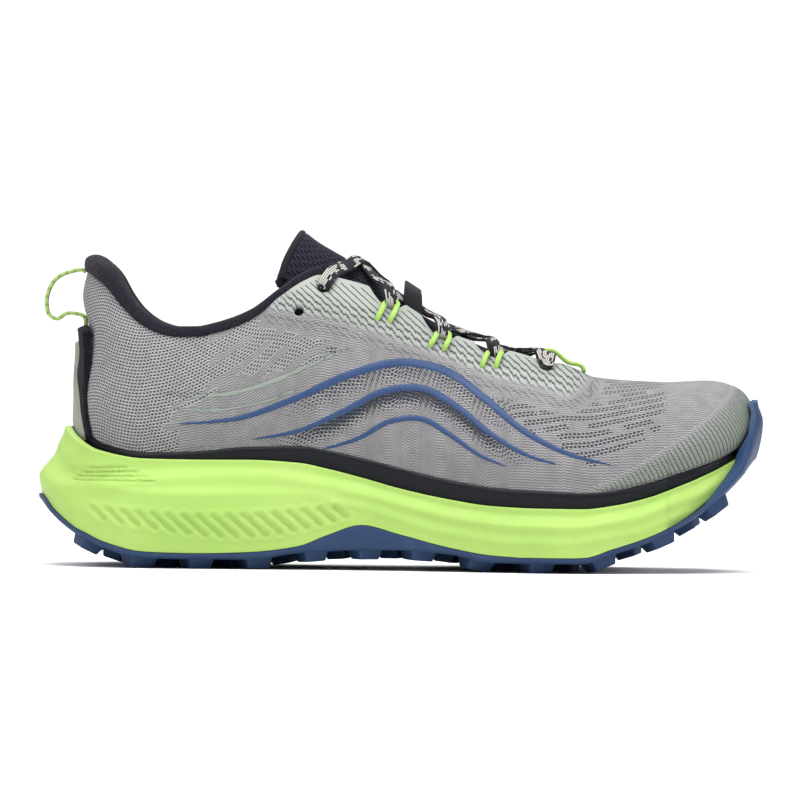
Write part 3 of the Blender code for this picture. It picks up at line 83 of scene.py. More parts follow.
# One row for each section of the shoe, heel's back to toe's tip
SECTION_COLUMNS = (
    "steps", "along", "turn", "shift", "sole", "sole_in", "feather", "belly", "mid", "high", "edge",
    "last_in", "flare", "lip", "bumper", "recess",
)
SECTIONS = (
    (2, 0.153, -90, 0.00, 0.825, 1.00, 0.510, 0.556, 0.492, 0.556, 0.519, 1.00, 1.0, 2.4, 0, 0),
    (2, 0.153, -66, 0.00, 0.812, 1.00, 0.529, 0.580, 0.519, 0.548, 0.510, 1.00, 1.0, 2.4, 0, 0),
    (2, 0.153, -42, 0.00, 0.795, 1.00, 0.577, 0.644, 0.606, 0.567, 0.529, 1.00, 0.8, 2.4, 0, 0),
    (2, 0.153, -20, 0.00, 0.812, 1.00, 0.615, 0.692, 0.673, 0.615, 0.548, 1.00, 0.4, 1.7, 0, 0),
    (2, 0.153, 0, 0.00, 0.821, 1.00, 0.635, 0.717, 0.708, 0.654, 0.587, 1.00, 0.1, 1.0, 0, 0),
    (2, 0.215, 0, 0.00, 0.821, 0.98, 0.644, 0.731, 0.727, 0.673, 0.615, 0.98, 0.0, 1.0, 0, 0),
    (2, 0.290, 0, 0.00, 0.795, 0.92, 0.644, 0.737, 0.727, 0.654, 0.587, 0.94, 0.0, 1.0, 0, 0),
    (2, 0.360, 0, 0.00, 0.768, 0.86, 0.654, 0.746, 0.721, 0.606, 0.500, 0.88, 0.0, 1.0, 0, 0),
    (3, 0.425, 0, 0.00, 0.759, 0.82, 0.673, 0.760, 0.712, 0.548, 0.394, 0.84, 0.0, 1.0, 0, 0),
    (3, 0.490, 0, 0.00, 0.777, 0.83, 0.712, 0.788, 0.712, 0.510, 0.337, 0.85, 0.0, 1.0, 0, 0),
    (3, 0.555, 0, 0.00, 0.830, 0.89, 0.779, 0.846, 0.740, 0.500, 0.298, 0.90, 0.0, 1.0, 0, 0),
    (3, 0.610, 0, 0.01, 0.902, 0.95, 0.856, 0.923, 0.798, 0.500, 0.269, 0.94, 0.0, 1.0, 0, 0),
    (2, 0.665, 0, 0.02, 0.973, 0.97, 0.923, 0.977, 0.846, 0.490, 0.231, 0.96, 0.0, 1.0, 0, 0),
    (2, 0.702, 0, 0.03, 1.010, 0.96, 0.952, 0.996, 0.865, 0.485, 0.183, 0.955, 0.0, 1.0, 0, 0),
    (2, 0.722, 0, 0.04, 1.018, 0.947, 0.962, 1.002, 0.875, 0.495, 0.000, 0.95, 0.0, 1.0, 0, 0),
    (2, 0.790, 0, 0.09, 0.977, 0.910, 0.927, 0.969, 0.850, 0.520, 0.000, 0.89, 0.0, 1.0, 0, 0),
    (2, 0.862, 0, 0.16, 0.865, 0.890, 0.795, 0.855, 0.775, 0.520, 0.000, 0.87, 0.0, 1.0, 0, 0),
    (2, 0.862, 22, 0.16, 0.845, 0.908, 0.742, 0.812, 0.748, 0.540, 0.000, 0.88, 0.0, 1.0, 0, 0.8),
    (2, 0.862, 45, 0.16, 0.808, 0.935, 0.690, 0.770, 0.722, 0.567, 0.000, 0.91, 0.0, 1.0, 0.12, 1),
    (2, 0.862, 68, 0.16, 0.756, 0.970, 0.630, 0.728, 0.700, 0.596, 0.000, 0.96, 0.0, 1.0, 0.95, 1),
    (0, 0.862, 90, 0.16, 0.727, 1.00, 0.606, 0.712, 0.696, 0.606, 0.000, 1.00, 0.0, 1.0, 1, 1),
)
LAST_ROW = len(SECTIONS) - 1
HEEL_FAN_END, TOE_FAN_START = 4, 16

SIDE_COLUMNS = ("along", "rocker", "rim", "foam", "band", "bed")
SIDE_LINES = (
    (0.000, 0.516, 0.661, 1.513, 1.560, 0.874),
    (0.023, 0.370, 0.516, 1.513, 1.560, 0.874),
    (0.043, 0.265, 0.408, 1.511, 1.558, 0.874),
    (0.055, 0.213, 0.354, 1.368, 1.424, 0.865),
    (0.067, 0.175, 0.318, 1.206, 1.260, 0.852),
    (0.093, 0.094, 0.238, 1.076, 1.125, 0.830),
    (0.153, 0.000, 0.148, 1.004, 1.054, 0.807),
    (0.217, 0.000, 0.139, 1.000, 1.067, 0.798),
    (0.293, 0.000, 0.155, 1.004, 1.105, 0.785),
    (0.360, 0.063, 0.213, 0.982, 1.096, 0.751),
    (0.400, 0.083, 0.318, 0.930, 1.045, 0.717),
    (0.447, 0.099, 0.415, 0.852, 0.971, 0.668),
    (0.500, 0.101, 0.332, 0.756, 0.892, 0.605),
    (0.567, 0.070, 0.220, 0.664, 0.816, 0.543),
    (0.625, 0.000, 0.155, 0.610, 0.768, 0.500),
    (0.687, 0.000, 0.135, 0.594, 0.747, 0.482),
    (0.748, 0.000, 0.142, 0.592, 0.731, 0.480),
    (0.787, 0.081, 0.215, 0.623, 0.753, 0.507),
    (0.837, 0.193, 0.325, 0.700, 0.825, 0.578),
    (0.883, 0.341, 0.471, 0.814, 0.924, 0.691),
    (0.933, 0.574, 0.702, 0.964, 1.045, 0.880),
    (0.970, 0.807, 0.933, 1.103, 1.166, 1.035),
    (0.990, 0.953, 1.076, 1.177, 1.238, 1.110),
)
COLLAR_LINE = (
    (0.063, 1.000), (0.080, 0.975), (0.094, 0.946), (0.119, 0.874), (0.144, 0.820), (0.169, 0.791),
    (0.193, 0.782), (0.218, 0.783), (0.243, 0.796), (0.267, 0.815), (0.292, 0.843), (0.332, 0.918),
    (0.365, 0.973), (0.385, 0.992),
)
THROAT_LINE = (
    (0.423, 1.000), (0.457, 0.975), (0.487, 0.941), (0.510, 0.903), (0.540, 0.857), (0.570, 0.813),
    (0.603, 0.786), (0.637, 0.765), (0.667, 0.745), (0.693, 0.725), (0.722, 0.709),
)
RIDGE_LINE = ((0.741, 1.048), (0.760, 1.026), (0.790, 1.012), (0.853, 1.000), (0.920, 0.996))
RIB_HEIGHTS = (0.22, 0.55, 0.85)
FOAM_COLUMNS = ("height", "plain", "flared")
FOAM_PROFILE = (
    (0.000, 0.93, 0.90), (0.250, 1.04, 1.00), (0.620, 0.96, 0.36), (0.740, 0.60, 0.25), (1.0, 0.0, 0.0),
)
COLLAR_COLUMNS = ("along", "height", "thickness")
COLLAR_ROLL = (
    (0.060, 0.0062, 0.0085), (0.100, 0.0078, 0.0090), (0.140, 0.0066, 0.0090),
    (0.190, 0.0043, 0.0080), (0.300, 0.0043, 0.0065), (0.430, 0.0042, 0.0050),
)
COLLAR_END = 7.4
COLLAR_TUCK = 0.0035
TONGUE_COLUMNS = ("along", "height", "half_width", "sag", "thickness")
TONGUE = (
    (0.765, 0.600, 0.30, 0.060, 0.0028),
    (0.735, 0.630, 0.34, 0.070, 0.0028),
    (0.700, 0.680, 0.38, 0.090, 0.0028),
    (0.655, 0.722, 0.42, 0.125, 0.0030),
    (0.605, 0.762, 0.44, 0.150, 0.0034),
    (0.560, 0.820, 0.44, 0.170, 0.0038),
    (0.520, 0.875, 0.42, 0.175, 0.0042),
    (0.485, 0.958, 0.38, 0.175, 0.0048),
    (0.450, 1.035, 0.33, 0.165, 0.0054),
    (0.415, 1.085, 0.30, 0.150, 0.0058),
    (0.385, 1.128, 0.33, 0.160, 0.0058),
    (0.363, 1.168, 0.37, 0.190, 0.0050),
)
TONGUE_END = len(TONGUE) - 1
TONGUE_CORNER = 0.55
EYESTAY_OUTLINE = (
    (0.300, 1.20), (0.300, 0.880), (0.345, 0.868), (0.400, 0.845), (0.446, 0.815), (0.496, 0.770),
    (0.553, 0.722), (0.593, 0.682), (0.632, 0.645), (0.690, 0.620), (0.727, 0.585), (0.746, 0.615),
    (0.768, 0.670), (0.768, 1.20),
)
TOE_CAP_OUTLINE = (
    (1.020, 0.700), (0.958, 0.700), (0.957, 0.640), (0.927, 0.560), (0.883, 0.475), (0.833, 0.395),
    (0.787, 0.330), (0.762, 0.300),
)
HEEL_TAPE_OUTLINE = (
    (0.68, 0.415), (0.63, 0.455), (0.57, 0.520), (0.54, 0.600), (0.53, 0.760), (0.50, 0.815),
)
HEEL_GUARD_OUTLINE = (
    (0.59, 0.415), (0.52, 0.455), (0.42, 0.520), (0.32, 0.600), (0.12, 0.650), (0.26, 0.690), (0.22, 0.760),
)
PULL_ENDS = (0.988, 0.822)
PULL_LOOP = ((0.040, 0.993), (0.019, 0.965), (0.009, 0.913), (0.008, 0.878), (0.012, 0.846), (0.022, 0.833),
             (0.036, 0.852), (0.0475, 0.852))
PULL_WIDTH = 0.0080
PULL_THICKNESS = 0.0015
EDGE_LUGS = (0.074, 0.143, 0.221, 0.300, 0.378, 0.452, 0.525, 0.604, 0.686, 0.770, 0.851, 0.926)
INNER_LUGS = (0.112, 0.182, 0.262, 0.340, 0.415, 0.489, 0.565, 0.645, 0.728, 0.812, 0.892)
EDGE_LUG_INSET = 0.0043
INNER_LUG_ACROSS = 0.30
EDGE_LUG = (0.0118, 0.0150)
INNER_LUG = (0.0105, 0.0115)
LUG_TAPER = 0.76
LUG_SWEEP = 22
KEEPER_PLACE = 0.512
KEEPER_SPAN = 0.0270
KEEPER_RISE = 0.0104
KEEPER_WIDTH = 0.0080
KEEPER_WEBBING = 0.0013
KEEPER_LIFT = 0.0030
KEEPER_ARCH = (
    (-1.0, 0.0), (-0.97, 0.45), (-0.80, 0.85), (-0.40, 1.0),
    (0.40, 1.0), (0.80, 0.85), (0.97, 0.45), (1.0, 0.0),
)
LATERAL, MEDIAL = -1, 1
FRONT_LOOP_SPAN = 0.0064
FRONT_LOOP_ON_FILM = ((0.7483, -0.0011), (0.7300, 0.0005))
FRONT_LOOP_OVER_BAR = ((0.7067, 1.0), (0.6900, 0.8), (0.6833, 0.0))

# The soft parts as they show: laces and cords flatter and rounder than the CAD's plain sections, deeper
# notches at the loops, a tongue that fills the throat, a dished bed and bevelled lugs. The loops' feet are
# millimetres in the side view.
NOTCH_DEPTH = 0.0070
NOTCH_WIDTH = 0.0150
TONGUE_FULLNESS = 0.0022
LACE_SAG = 0.0045
LACE_SHOWN = 0.0016
CORD_SHOWN = 0.0020
LACE_EASE = 0.0003
LOOP_INWARD = 0.0022
LOOP_RISE = 0.0014
LOOP_AHEAD = 0.0014
LOOP_OPEN = 0.0050
LOOP_FEET = (((-11.3, 101.9), (-5.9, 101.3)), ((10.8, 91.5), (16.6, 90.0)), ((32.4, 83.3), (38.1, 82.9)))
BED_DISH = 0.0011
BED_CLOTH = 0.0026
LUG_BEVEL = 0.00075

# How densely the pieces are made
FOAM_SPACING = 0.0011
FOAM_LEVELS = 58
RUBBER_SPACING = 0.0016
BED_SPACING = 0.0022
BED_ACROSS = 40
COLLAR_SPACING = 0.0011
COLLAR_ROUND = 40
TONGUE_RINGS = 110
TONGUE_ROUND = 56
SKIN_SPACING = 0.0013
SKIN_LEVELS = 64
FILM_SPACING = 0.0008
FILM_LEVELS = 110
LOW_LEVELS = 8


def hermite(knots, values, slopes, at):
    i = np.clip(np.searchsorted(knots, at, side="right") - 1, 0, len(knots) - 2)
    width = knots[i + 1] - knots[i]
    t = (at - knots[i]) / width
    rest = (1 - t) ** 2
    return (
        values[i] * (1 + 2 * t) * rest
        + values[i + 1] * t * t * (3 - 2 * t)
        + width * slopes[i] * t * rest
        - width * slopes[i + 1] * t * t * (1 - t)
    )


def curve(knots, values, at):
    """Smooth curve through the values that never overshoots them, level at both ends."""
    knots, values, at = (np.asarray(a, float) for a in (knots, values, at))
    width = np.diff(knots)
    slope = np.diff(values) / width
    bend = np.zeros(len(knots))
    same_way = slope[:-1] * slope[1:] > 0
    weight_a, weight_b = 2 * width[1:] + width[:-1], width[1:] + 2 * width[:-1]
    safe = np.where(same_way, slope[:-1] * slope[1:], 1.0)
    mean = (weight_a + weight_b) * safe / (weight_a * slope[1:] + weight_b * slope[:-1] + (~same_way))
    bend[1:-1] = np.where(same_way, mean, 0.0)
    return hermite(knots, values, bend, np.clip(at, knots[0], knots[-1]))


def spline(knots, values, at):
    """Curve through the values with the slopes of their neighbours."""
    knots, values, at = (np.asarray(a, float) for a in (knots, values, at))
    return hermite(knots, values, np.gradient(values, knots), at)


def smooth(value, low, high):
    """Rises softly from 0 at low to 1 at high."""
    share = np.clip((np.asarray(value, float) - low) / (high - low), 0, 1)
    return share * share * (3 - 2 * share)


def reach_along(path):
    """How far along the path each of its points lies."""
    return np.concatenate([[0], np.cumsum(np.linalg.norm(np.diff(path, axis=0), axis=1))])


def column(table, names, name):
    return [row[names.index(name)] for row in table]


@functools.lru_cache(maxsize=None)
def section(name, row):
    values = column(SECTIONS, SECTION_COLUMNS, name)
    if name in ("bumper", "recess"):
        return float(np.interp(row, range(len(values)), values))
    return float(curve(range(len(values)), values, row))


@functools.lru_cache(maxsize=None)
def side_line(name, x):
    knots, values = column(SIDE_LINES, SIDE_COLUMNS, "along"), column(SIDE_LINES, SIDE_COLUMNS, name)
    height = float(curve(knots, values, x / SHOE_LENGTH + 0.5)) * SOLE_HEIGHT
    return height + LUG_DEPTH if name == "rocker" else height


@functools.lru_cache(maxsize=None)
def top_line(x):
    rows = [(along, share * HEEL_HEIGHT) for along, share in COLLAR_LINE]
    rows += [(along, share * INSTEP_HEIGHT) for along, share in THROAT_LINE]
    rows += [(along, share * TOE_HEIGHT) for along, share in RIDGE_LINE]
    along, height = zip(*rows)
    return float(curve(along, height, x / SHOE_LENGTH + 0.5))


def raw_place(row, side, radius):
    turn = math.radians(section("turn", row))
    x = (section("along", row) - 0.5) * SHOE_LENGTH + radius * math.sin(turn)
    return x, section("shift", row) * LAST_WIDTH / 2 + side * radius * math.cos(turn)


@functools.lru_cache(maxsize=None)
def sole_radius(row, side):
    return section("sole", row) * (section("sole_in", row) if side == MEDIAL else 1) * SOLE_WIDTH / 2


def table_rows():
    steps = column(SECTIONS, SECTION_COLUMNS, "steps")
    return [row + step / steps[row] for row in range(LAST_ROW) for step in range(steps[row])] + [LAST_ROW]


def sole_middle():
    columns = [(row, side) for row in table_rows() for side in (LATERAL, MEDIAL)]
    points = np.array([raw_place(row, side, sole_radius(row, side)) for row, side in columns])
    return (points.min(0) + points.max(0)) / 2


MIDDLE_X, MIDDLE_Y = sole_middle()


def place(row, side, radius):
    x, y = raw_place(row, side, radius)
    return x - MIDDLE_X, y - MIDDLE_Y


def point(row, side, radius, height):
    return (*place(row, side, radius), height)


def loop_x(share):
    return (share - 0.5) * SHOE_LENGTH - MIDDLE_X


def notch(x):
    reach = [max(0.0, 1 - (2 * (x - loop_x(share)) / NOTCH_WIDTH) ** 2) for share in LOOP_PLACES]
    return NOTCH_DEPTH * max(reach)


@functools.lru_cache(maxsize=None)
def rib_knots(row, side):
    """Foot and the knots of the upper's outer face above it, as (radius, height)."""
    half = LAST_WIDTH / 2
    inner = section("last_in", row) if side == MEDIAL else 1.0
    foot = section("feather", row) * inner * half
    bed = side_line("bed", place(row, side, foot)[0])
    straight_x = place(row, side, foot * 1.06)[0]
    straight_top = max(side_line("band", straight_x), side_line("foam", straight_x) + LIP_REVEAL)
    straight = foot + STRAIGHT_LEAN * (straight_top - bed)
    edge = section("edge", row) * half
    top = top_line(place(row, side, edge)[0])
    knots = [(straight, straight_top)]
    for name, share in zip(("belly", "mid", "high"), RIB_HEIGHTS):
        scale = inner + (1 - inner) * share
        knots.append((section(name, row) * scale * half, straight_top + (top - straight_top) * share))
    along = knots[-1]
    length = math.hypot(edge - along[0], top - along[1])
    cut = notch(place(row, side, edge)[0]) / length if edge > 0 else 0.0
    knots.append((edge + (along[0] - edge) * cut, top + (along[1] - top) * cut))
    return (foot, bed), np.array(knots)


@functools.lru_cache(maxsize=None)
def rib_line(row, side, low_count, high_count):
    """The rib read densely: radii, heights and reach down to the centre line, foot to top edge."""
    foot, knots = rib_knots(row, side)
    reach = reach_along(knots)
    slopes = np.stack([np.gradient(knots[:, 0], reach), np.gradient(knots[:, 1], reach)])
    crown = float(smooth(section("edge", row), 0.16, 0.0))
    slopes[0, -1] += (-1.0 - slopes[0, -1]) * crown
    slopes[1, -1] *= 1 - crown
    at = np.linspace(0, reach[-1], high_count)
    radii = hermite(reach, knots[:, 0], slopes[0], at)
    heights = hermite(reach, knots[:, 1], slopes[1], at)
    low = np.linspace(foot, knots[0], low_count, endpoint=False)
    radii, heights = np.concatenate([low[:, 0], radii]), np.concatenate([low[:, 1], heights])
    steps = np.hypot(np.diff(radii), np.diff(heights))
    down = np.concatenate([[0], np.cumsum(steps[::-1])])[::-1] + section("edge", row) * LAST_WIDTH / 2
    return radii, heights, down


def rib(row, side):
    foot, knots = rib_knots(row, side)
    return [foot, *map(tuple, knots)]


def rib_radius(row, side, height):
    radii, heights = zip(*rib(row, side))
    return float(np.interp(height, heights, radii))


def belly_reach(rows, side):
    """How far along the upper's widest line each row lies."""
    return reach_along([place(row, side, section("belly", row) * LAST_WIDTH / 2) for row in rows])


def even_rows(spacing):
    """Rows whose belly points stand evenly apart on the outer side."""
    fine = np.linspace(0, LAST_ROW, 801)
    reach = belly_reach(fine, LATERAL)
    even = np.linspace(0, reach[-1], max(2, int(reach[-1] / spacing)))
    return [float(row) for row in np.interp(even, reach, fine)]


def around(rows, make):
    outer = [make(row, LATERAL) for row in rows]
    return outer + [make(row, MEDIAL) for row in rows[-2:0:-1]]


class Field:
    """A number that varies over a surface, held as a socket of its material's nodes."""

    def __init__(self, tree, socket):
        self.tree = tree
        self.socket = socket

    def math(self, operation, *others):
        node = self.tree.nodes.new("ShaderNodeMath")
        node.operation = operation
        for socket, value in zip(node.inputs, (self, *others)):
            connect(self.tree, value, socket)
        return Field(self.tree, node.outputs[0])

    def __add__(self, other):
        return self.math("ADD", other)

    def __sub__(self, other):
        return self.math("SUBTRACT", other)

    def __mul__(self, other):
        return self.math("MULTIPLY", other)

    def __truediv__(self, other):
        return self.math("DIVIDE", other)

    def inverse(self):
        return self * -1 + 1

    def fraction(self):
        return self.math("FRACT")

    def floor(self):
        return self.math("FLOOR")

    def wave(self, period):
        """Between 0 and 1, with its crests a period apart."""
        return (self * (2 * math.pi / period)).math("COSINE") * 0.5 + 0.5

    def ramp(self, low, high):
        """Rises softly from 0 at low to 1 at high, or falls where low is above high."""
        node = self.tree.nodes.new("ShaderNodeMapRange")
        node.interpolation_type = "SMOOTHSTEP"
        connect(self.tree, self, node.inputs["Value"])
        swapped = not isinstance(low, Field) and not isinstance(high, Field) and low > high
        connect(self.tree, high if swapped else low, node.inputs["From Min"])
        connect(self.tree, low if swapped else high, node.inputs["From Max"])
        made = Field(self.tree, node.outputs["Result"])
        return made.inverse() if swapped else made


def connect(tree, value, socket):
    if isinstance(value, Field):
        tree.links.new(value.socket, socket)
    elif isinstance(value, tuple) and len(value) == 3 and len(socket.default_value) == 4:
        socket.default_value = (*value, 1)
    else:
        socket.default_value = value


class Finish:
    """A Principled material that is built up from fields."""

    def __init__(self, name):
        self.material = bpy.data.materials.new(name)
        self.material.use_nodes = True
        self.tree = self.material.node_tree
        self.shader = self.tree.nodes["Principled BSDF"]

    def attribute(self, name):
        """The three numbers of a piece's own attribute."""
        node = self.tree.nodes.new("ShaderNodeAttribute")
        node.attribute_name = name
        split = self.tree.nodes.new("ShaderNodeSeparateXYZ")
        self.tree.links.new(node.outputs["Vector"], split.inputs[0])
        return [Field(self.tree, socket) for socket in split.outputs]

    def position(self, stretch=(1, 1, 1)):
        """Place on the object in metres, each direction stretched by its own factor."""
        where = self.tree.nodes.new("ShaderNodeTexCoord")
        scaled = self.tree.nodes.new("ShaderNodeVectorMath")
        scaled.operation = "MULTIPLY"
        scaled.inputs[1].default_value = stretch
        self.tree.links.new(where.outputs["Object"], scaled.inputs[0])
        return Field(self.tree, scaled.outputs[0])

    def together(self, x, y, z=0.0):
        node = self.tree.nodes.new("ShaderNodeCombineXYZ")
        for value, socket in zip((x, y, z), node.inputs):
            connect(self.tree, value, socket)
        return Field(self.tree, node.outputs[0])

    def noise(self, scale, detail=3.0, roughness=0.55, where=None):
        node = self.tree.nodes.new("ShaderNodeTexNoise")
        node.inputs["Scale"].default_value = scale
        node.inputs["Detail"].default_value = detail
        node.inputs["Roughness"].default_value = roughness
        connect(self.tree, where or self.position(), node.inputs["Vector"])
        return Field(self.tree, node.outputs["Fac"])

    def cells(self, scale, where=None, randomness=1.0):
        node = self.tree.nodes.new("ShaderNodeTexVoronoi")
        node.feature = "DISTANCE_TO_EDGE"
        node.inputs["Scale"].default_value = scale
        node.inputs["Randomness"].default_value = randomness
        connect(self.tree, where or self.position(), node.inputs["Vector"])
        return Field(self.tree, node.outputs["Distance"])

    def mix(self, share, first, second):
        """Colour between the first at 0 and the second at 1."""
        node = self.tree.nodes.new("ShaderNodeMix")
        node.data_type = "RGBA"
        connect(self.tree, share, node.inputs[0])
        connect(self.tree, first, node.inputs[6])
        connect(self.tree, second, node.inputs[7])
        return Field(self.tree, node.outputs[2])

    def choose(self, share, first, second):
        """Number between the first at 0 and the second at 1."""
        return share * second + share.inverse() * first

    def bump(self, height, distance, strength=1.0):
        node = self.tree.nodes.new("ShaderNodeBump")
        node.inputs["Distance"].default_value = distance
        node.inputs["Strength"].default_value = strength
        connect(self.tree, height, node.inputs["Height"])
        self.tree.links.new(node.outputs["Normal"], self.shader.inputs["Normal"])

    def set(self, **inputs):
        for name, value in inputs.items():
            connect(self.tree, value, self.shader.inputs[name.replace("_", " ")])
        return self.material


def holes(x, y, pitch_x, pitch_y, width, height, grow=1.0):
    """Ovals on a staggered lattice: 1 inside, 0 outside. Lengths in millimetres."""
    line = y / pitch_y
    row = line.floor()
    shift = (row * 0.5).fraction()
    a = ((x / pitch_x + shift).fraction() - 0.5) * (2 * pitch_x / width)
    b = (line.fraction() - 0.5) * (2 * pitch_y / height)
    reach = (a * a + b * b).math("SQRT")
    if isinstance(grow, Field):
        reach = reach / (grow + 0.001)
    return reach.ramp(1.15, 0.8)


# Millimetres from rib to rib of the knit, from one pair of hole rows to the next, and across a lace's lane
RIB_PITCH = 1.12
PAIR_PITCH = 4.05
LACE_LANE = 0.82


def knit_finish():
    """Grey engineered knit: fine wavy ribs, loops, rows of small holes, and the printed zones."""
    made = Finish("grey_knit")
    x, y, _ = made.attribute("flat")
    dots, shade, fade = made.attribute("zone")
    comb, edge, contour = made.attribute("marks")
    wavy = y + (x * 2.1).math("SINE") * 0.16 + x * 0.16
    ribs = wavy.wave(RIB_PITCH)
    loops = (x + (wavy / RIB_PITCH).floor() * 0.47).wave(0.94)
    fore = x.ramp(-34, -30)
    along = x * 0.934 - y * 0.358
    across = x * 0.358 + y * 0.934
    patch = made.noise(0.085, 1.0, 0.4, made.together(along * 0.50, across * 1.8))
    paired = (across / PAIR_PITCH).fraction().ramp(0.70, 0.64)
    grouped = made.noise(0.16, 0.0, 0.3, made.together(along * 0.62, (across / PAIR_PITCH).floor() * 4.7))
    grouped = grouped.ramp(0.34, 0.41)
    streaks = across.wave(9.2).ramp(0.22, 0.40)
    rows = made.choose(fore, made.choose(dots.ramp(0.66, 0.80), streaks, 1.0), paired * grouped)
    open_rows = (dots * 1.5 + patch - 0.60).ramp(0.22, 0.62) * rows
    wide = holes(along, across, 1.84, 1.35, 1.46, 0.96, open_rows) * open_rows.ramp(0.25, 0.5)
    close = holes(along, across, 1.60, 1.25, 1.16, 0.72, open_rows) * open_rows.ramp(0.25, 0.5)
    pierced = made.choose(fore, close, wide)
    pierced_zone = open_rows.ramp(0.2, 0.8) * (fore * -0.6 + 1)
    inked = holes(along, across, 1.78, 1.40, 1.7, 1.25, shade * 1.35) * shade.ramp(0.04, 0.2)
    _, lines = slits(comb, x, edge, fade)
    mottle = made.noise(160, 3.0)
    fibres = made.noise(2600, 2.0, 0.7)
    base = made.mix(mottle.ramp(0.3, 0.7), (0.212, 0.207, 0.213), (0.268, 0.262, 0.266))
    base = made.mix(pierced_zone * 0.35, base, (0.42, 0.412, 0.415))
    base = made.mix(ribs.ramp(0.85, 0.1) * (pierced_zone * -0.45 + 0.66), base, (0.078, 0.077, 0.085))
    base = made.mix((loops * ribs).ramp(0.5, 1.0) * 0.45, base, (0.50, 0.492, 0.488))
    base = made.mix(contour * 0.80, base, (0.245, 0.290, 0.245))
    base = made.mix(contour.ramp(0.0, 0.3) * contour.ramp(0.75, 0.4) * 0.6, base, (0.09, 0.11, 0.09))
    base = made.mix(lines * 0.80, base, (0.055, 0.062, 0.055))
    base = made.mix(inked * 0.97, base, (0.014, 0.018, 0.028))
    base = made.mix(pierced * 0.93, base, (0.022, 0.022, 0.032))
    height = ribs * 0.45 + loops * ribs * 0.3 - pierced * 1.3 - lines * 0.5 + fibres * 0.12 - inked * 0.2
    made.bump(height, 0.00034, 0.85)
    return made.set(
        Base_Color=base, Roughness=(fibres * 0.14 + 0.74), Sheen_Weight=0.10, Sheen_Roughness=0.45,
        Specular_IOR_Level=0.22,
    )


def lining_finish():
    """Dark spacer mesh on the inside of the upper."""
    made = Finish("dark_lining")
    x, y, _ = made.attribute("flat")
    pores = holes(x, y, 2.0, 1.7, 1.1, 0.95)
    fibres = made.noise(2200, 2.0, 0.7)
    worn = made.noise(60, 3.0)
    base = made.mix(worn, (0.020, 0.020, 0.030), (0.034, 0.034, 0.048))
    base = made.mix(pores * 0.8, base, (0.006, 0.006, 0.010))
    made.bump(fibres * 0.3 - pores, 0.0004, 0.8)
    return made.set(
        Base_Color=base, Roughness=(fibres * 0.1 + 0.85), Sheen_Weight=0.05, Specular_IOR_Level=0.1
    )


def slits(comb, x, edge, fade):
    """Dark slits a comb pitch apart where fade lets them show, most stepped near the film's edge."""
    uneven = edge.ramp(13.0, 4.0) * x.ramp(COMB_CHANGE, COMB_CHANGE - 6) * 0.26 + 0.03
    stepped = comb + (x * 1.7).math("SINE") * uneven + (x * 4.3).math("SINE") * uneven * 0.5
    return stepped, stepped.wave(COMB_PITCH).ramp(0.88, 0.98) * fade.ramp(0.15, 0.5)


def film_finish(name, pale, dark, reach):
    """Fused film: satin, finely grained, with the dark slits that comb into the knit."""
    made = Finish(name)
    comb, edge, _ = made.attribute("marks")
    x, y, _ = made.attribute("flat")
    _, _, fade = made.attribute("zone")
    stepped, slit = slits(comb, x, edge, fade)
    slit = slit * edge.ramp(0.0, reach * 0.4)
    strips = stepped.wave(COMB_PITCH).ramp(0.35, 0.60)
    bare = (strips * edge.ramp(reach, reach - 3.5) + edge.ramp(3.5, 0.5)).math("MINIMUM", 1.0)
    mottle = made.noise(90, 4.0)
    grain = made.noise(2400, 2.0, 0.6)
    scuffs = made.noise(28, 6.0, 0.65, made.position((1, 1, 2.4))).ramp(0.60, 0.74)
    ribs = (y + (x * 2.1).math("SINE") * 0.16).wave(RIB_PITCH)
    base = made.mix(mottle, pale, dark)
    base = made.mix(scuffs * 0.25, base, (0.22, 0.24, 0.22))
    base = made.mix(bare * 0.94, base, made.mix(ribs, (0.115, 0.113, 0.120), (0.285, 0.279, 0.282)))
    base = made.mix(slit * 0.94, base, (0.016, 0.020, 0.020))
    made.bump(grain * 0.25 - slit * 1.6 - bare * (ribs * 0.4 + 0.3) + mottle * 0.2, 0.00028, 0.8)
    return made.set(
        Base_Color=base, Roughness=(mottle * 0.16 + grain * 0.10 + bare * 0.3 + 0.36), Specular_IOR_Level=0.35
    )


def rand_finish():
    """Near black fused band, smooth with faint streaks along it."""
    made = Finish("navy_rand")
    streaks = made.noise(140, 4.0, 0.6, made.position((0.25, 0.25, 2.0)))
    grain = made.noise(3200, 1.0)
    base = made.mix(streaks, (0.0030, 0.0036, 0.0060), (0.0075, 0.0088, 0.0130))
    made.bump(grain * 0.3 + streaks * 0.4, 0.00012, 0.6)
    return made.set(Base_Color=base, Roughness=(streaks * 0.20 + 0.30), Specular_IOR_Level=0.15)


def contour_finish():
    """Raised blue film with a fine leather-like grain."""
    made = Finish("blue_contour_film")
    grain = made.cells(900)
    mottle = made.noise(120, 3.0)
    base = made.mix(mottle, (0.020, 0.046, 0.125), (0.031, 0.066, 0.165))
    base = made.mix(grain.ramp(0.16, 0.0) * 0.40, base, (0.010, 0.024, 0.070))
    made.bump(grain.ramp(0.0, 0.3), 0.00008, 0.7)
    return made.set(Base_Color=base, Roughness=(mottle * 0.18 + 0.42), Specular_IOR_Level=0.25)


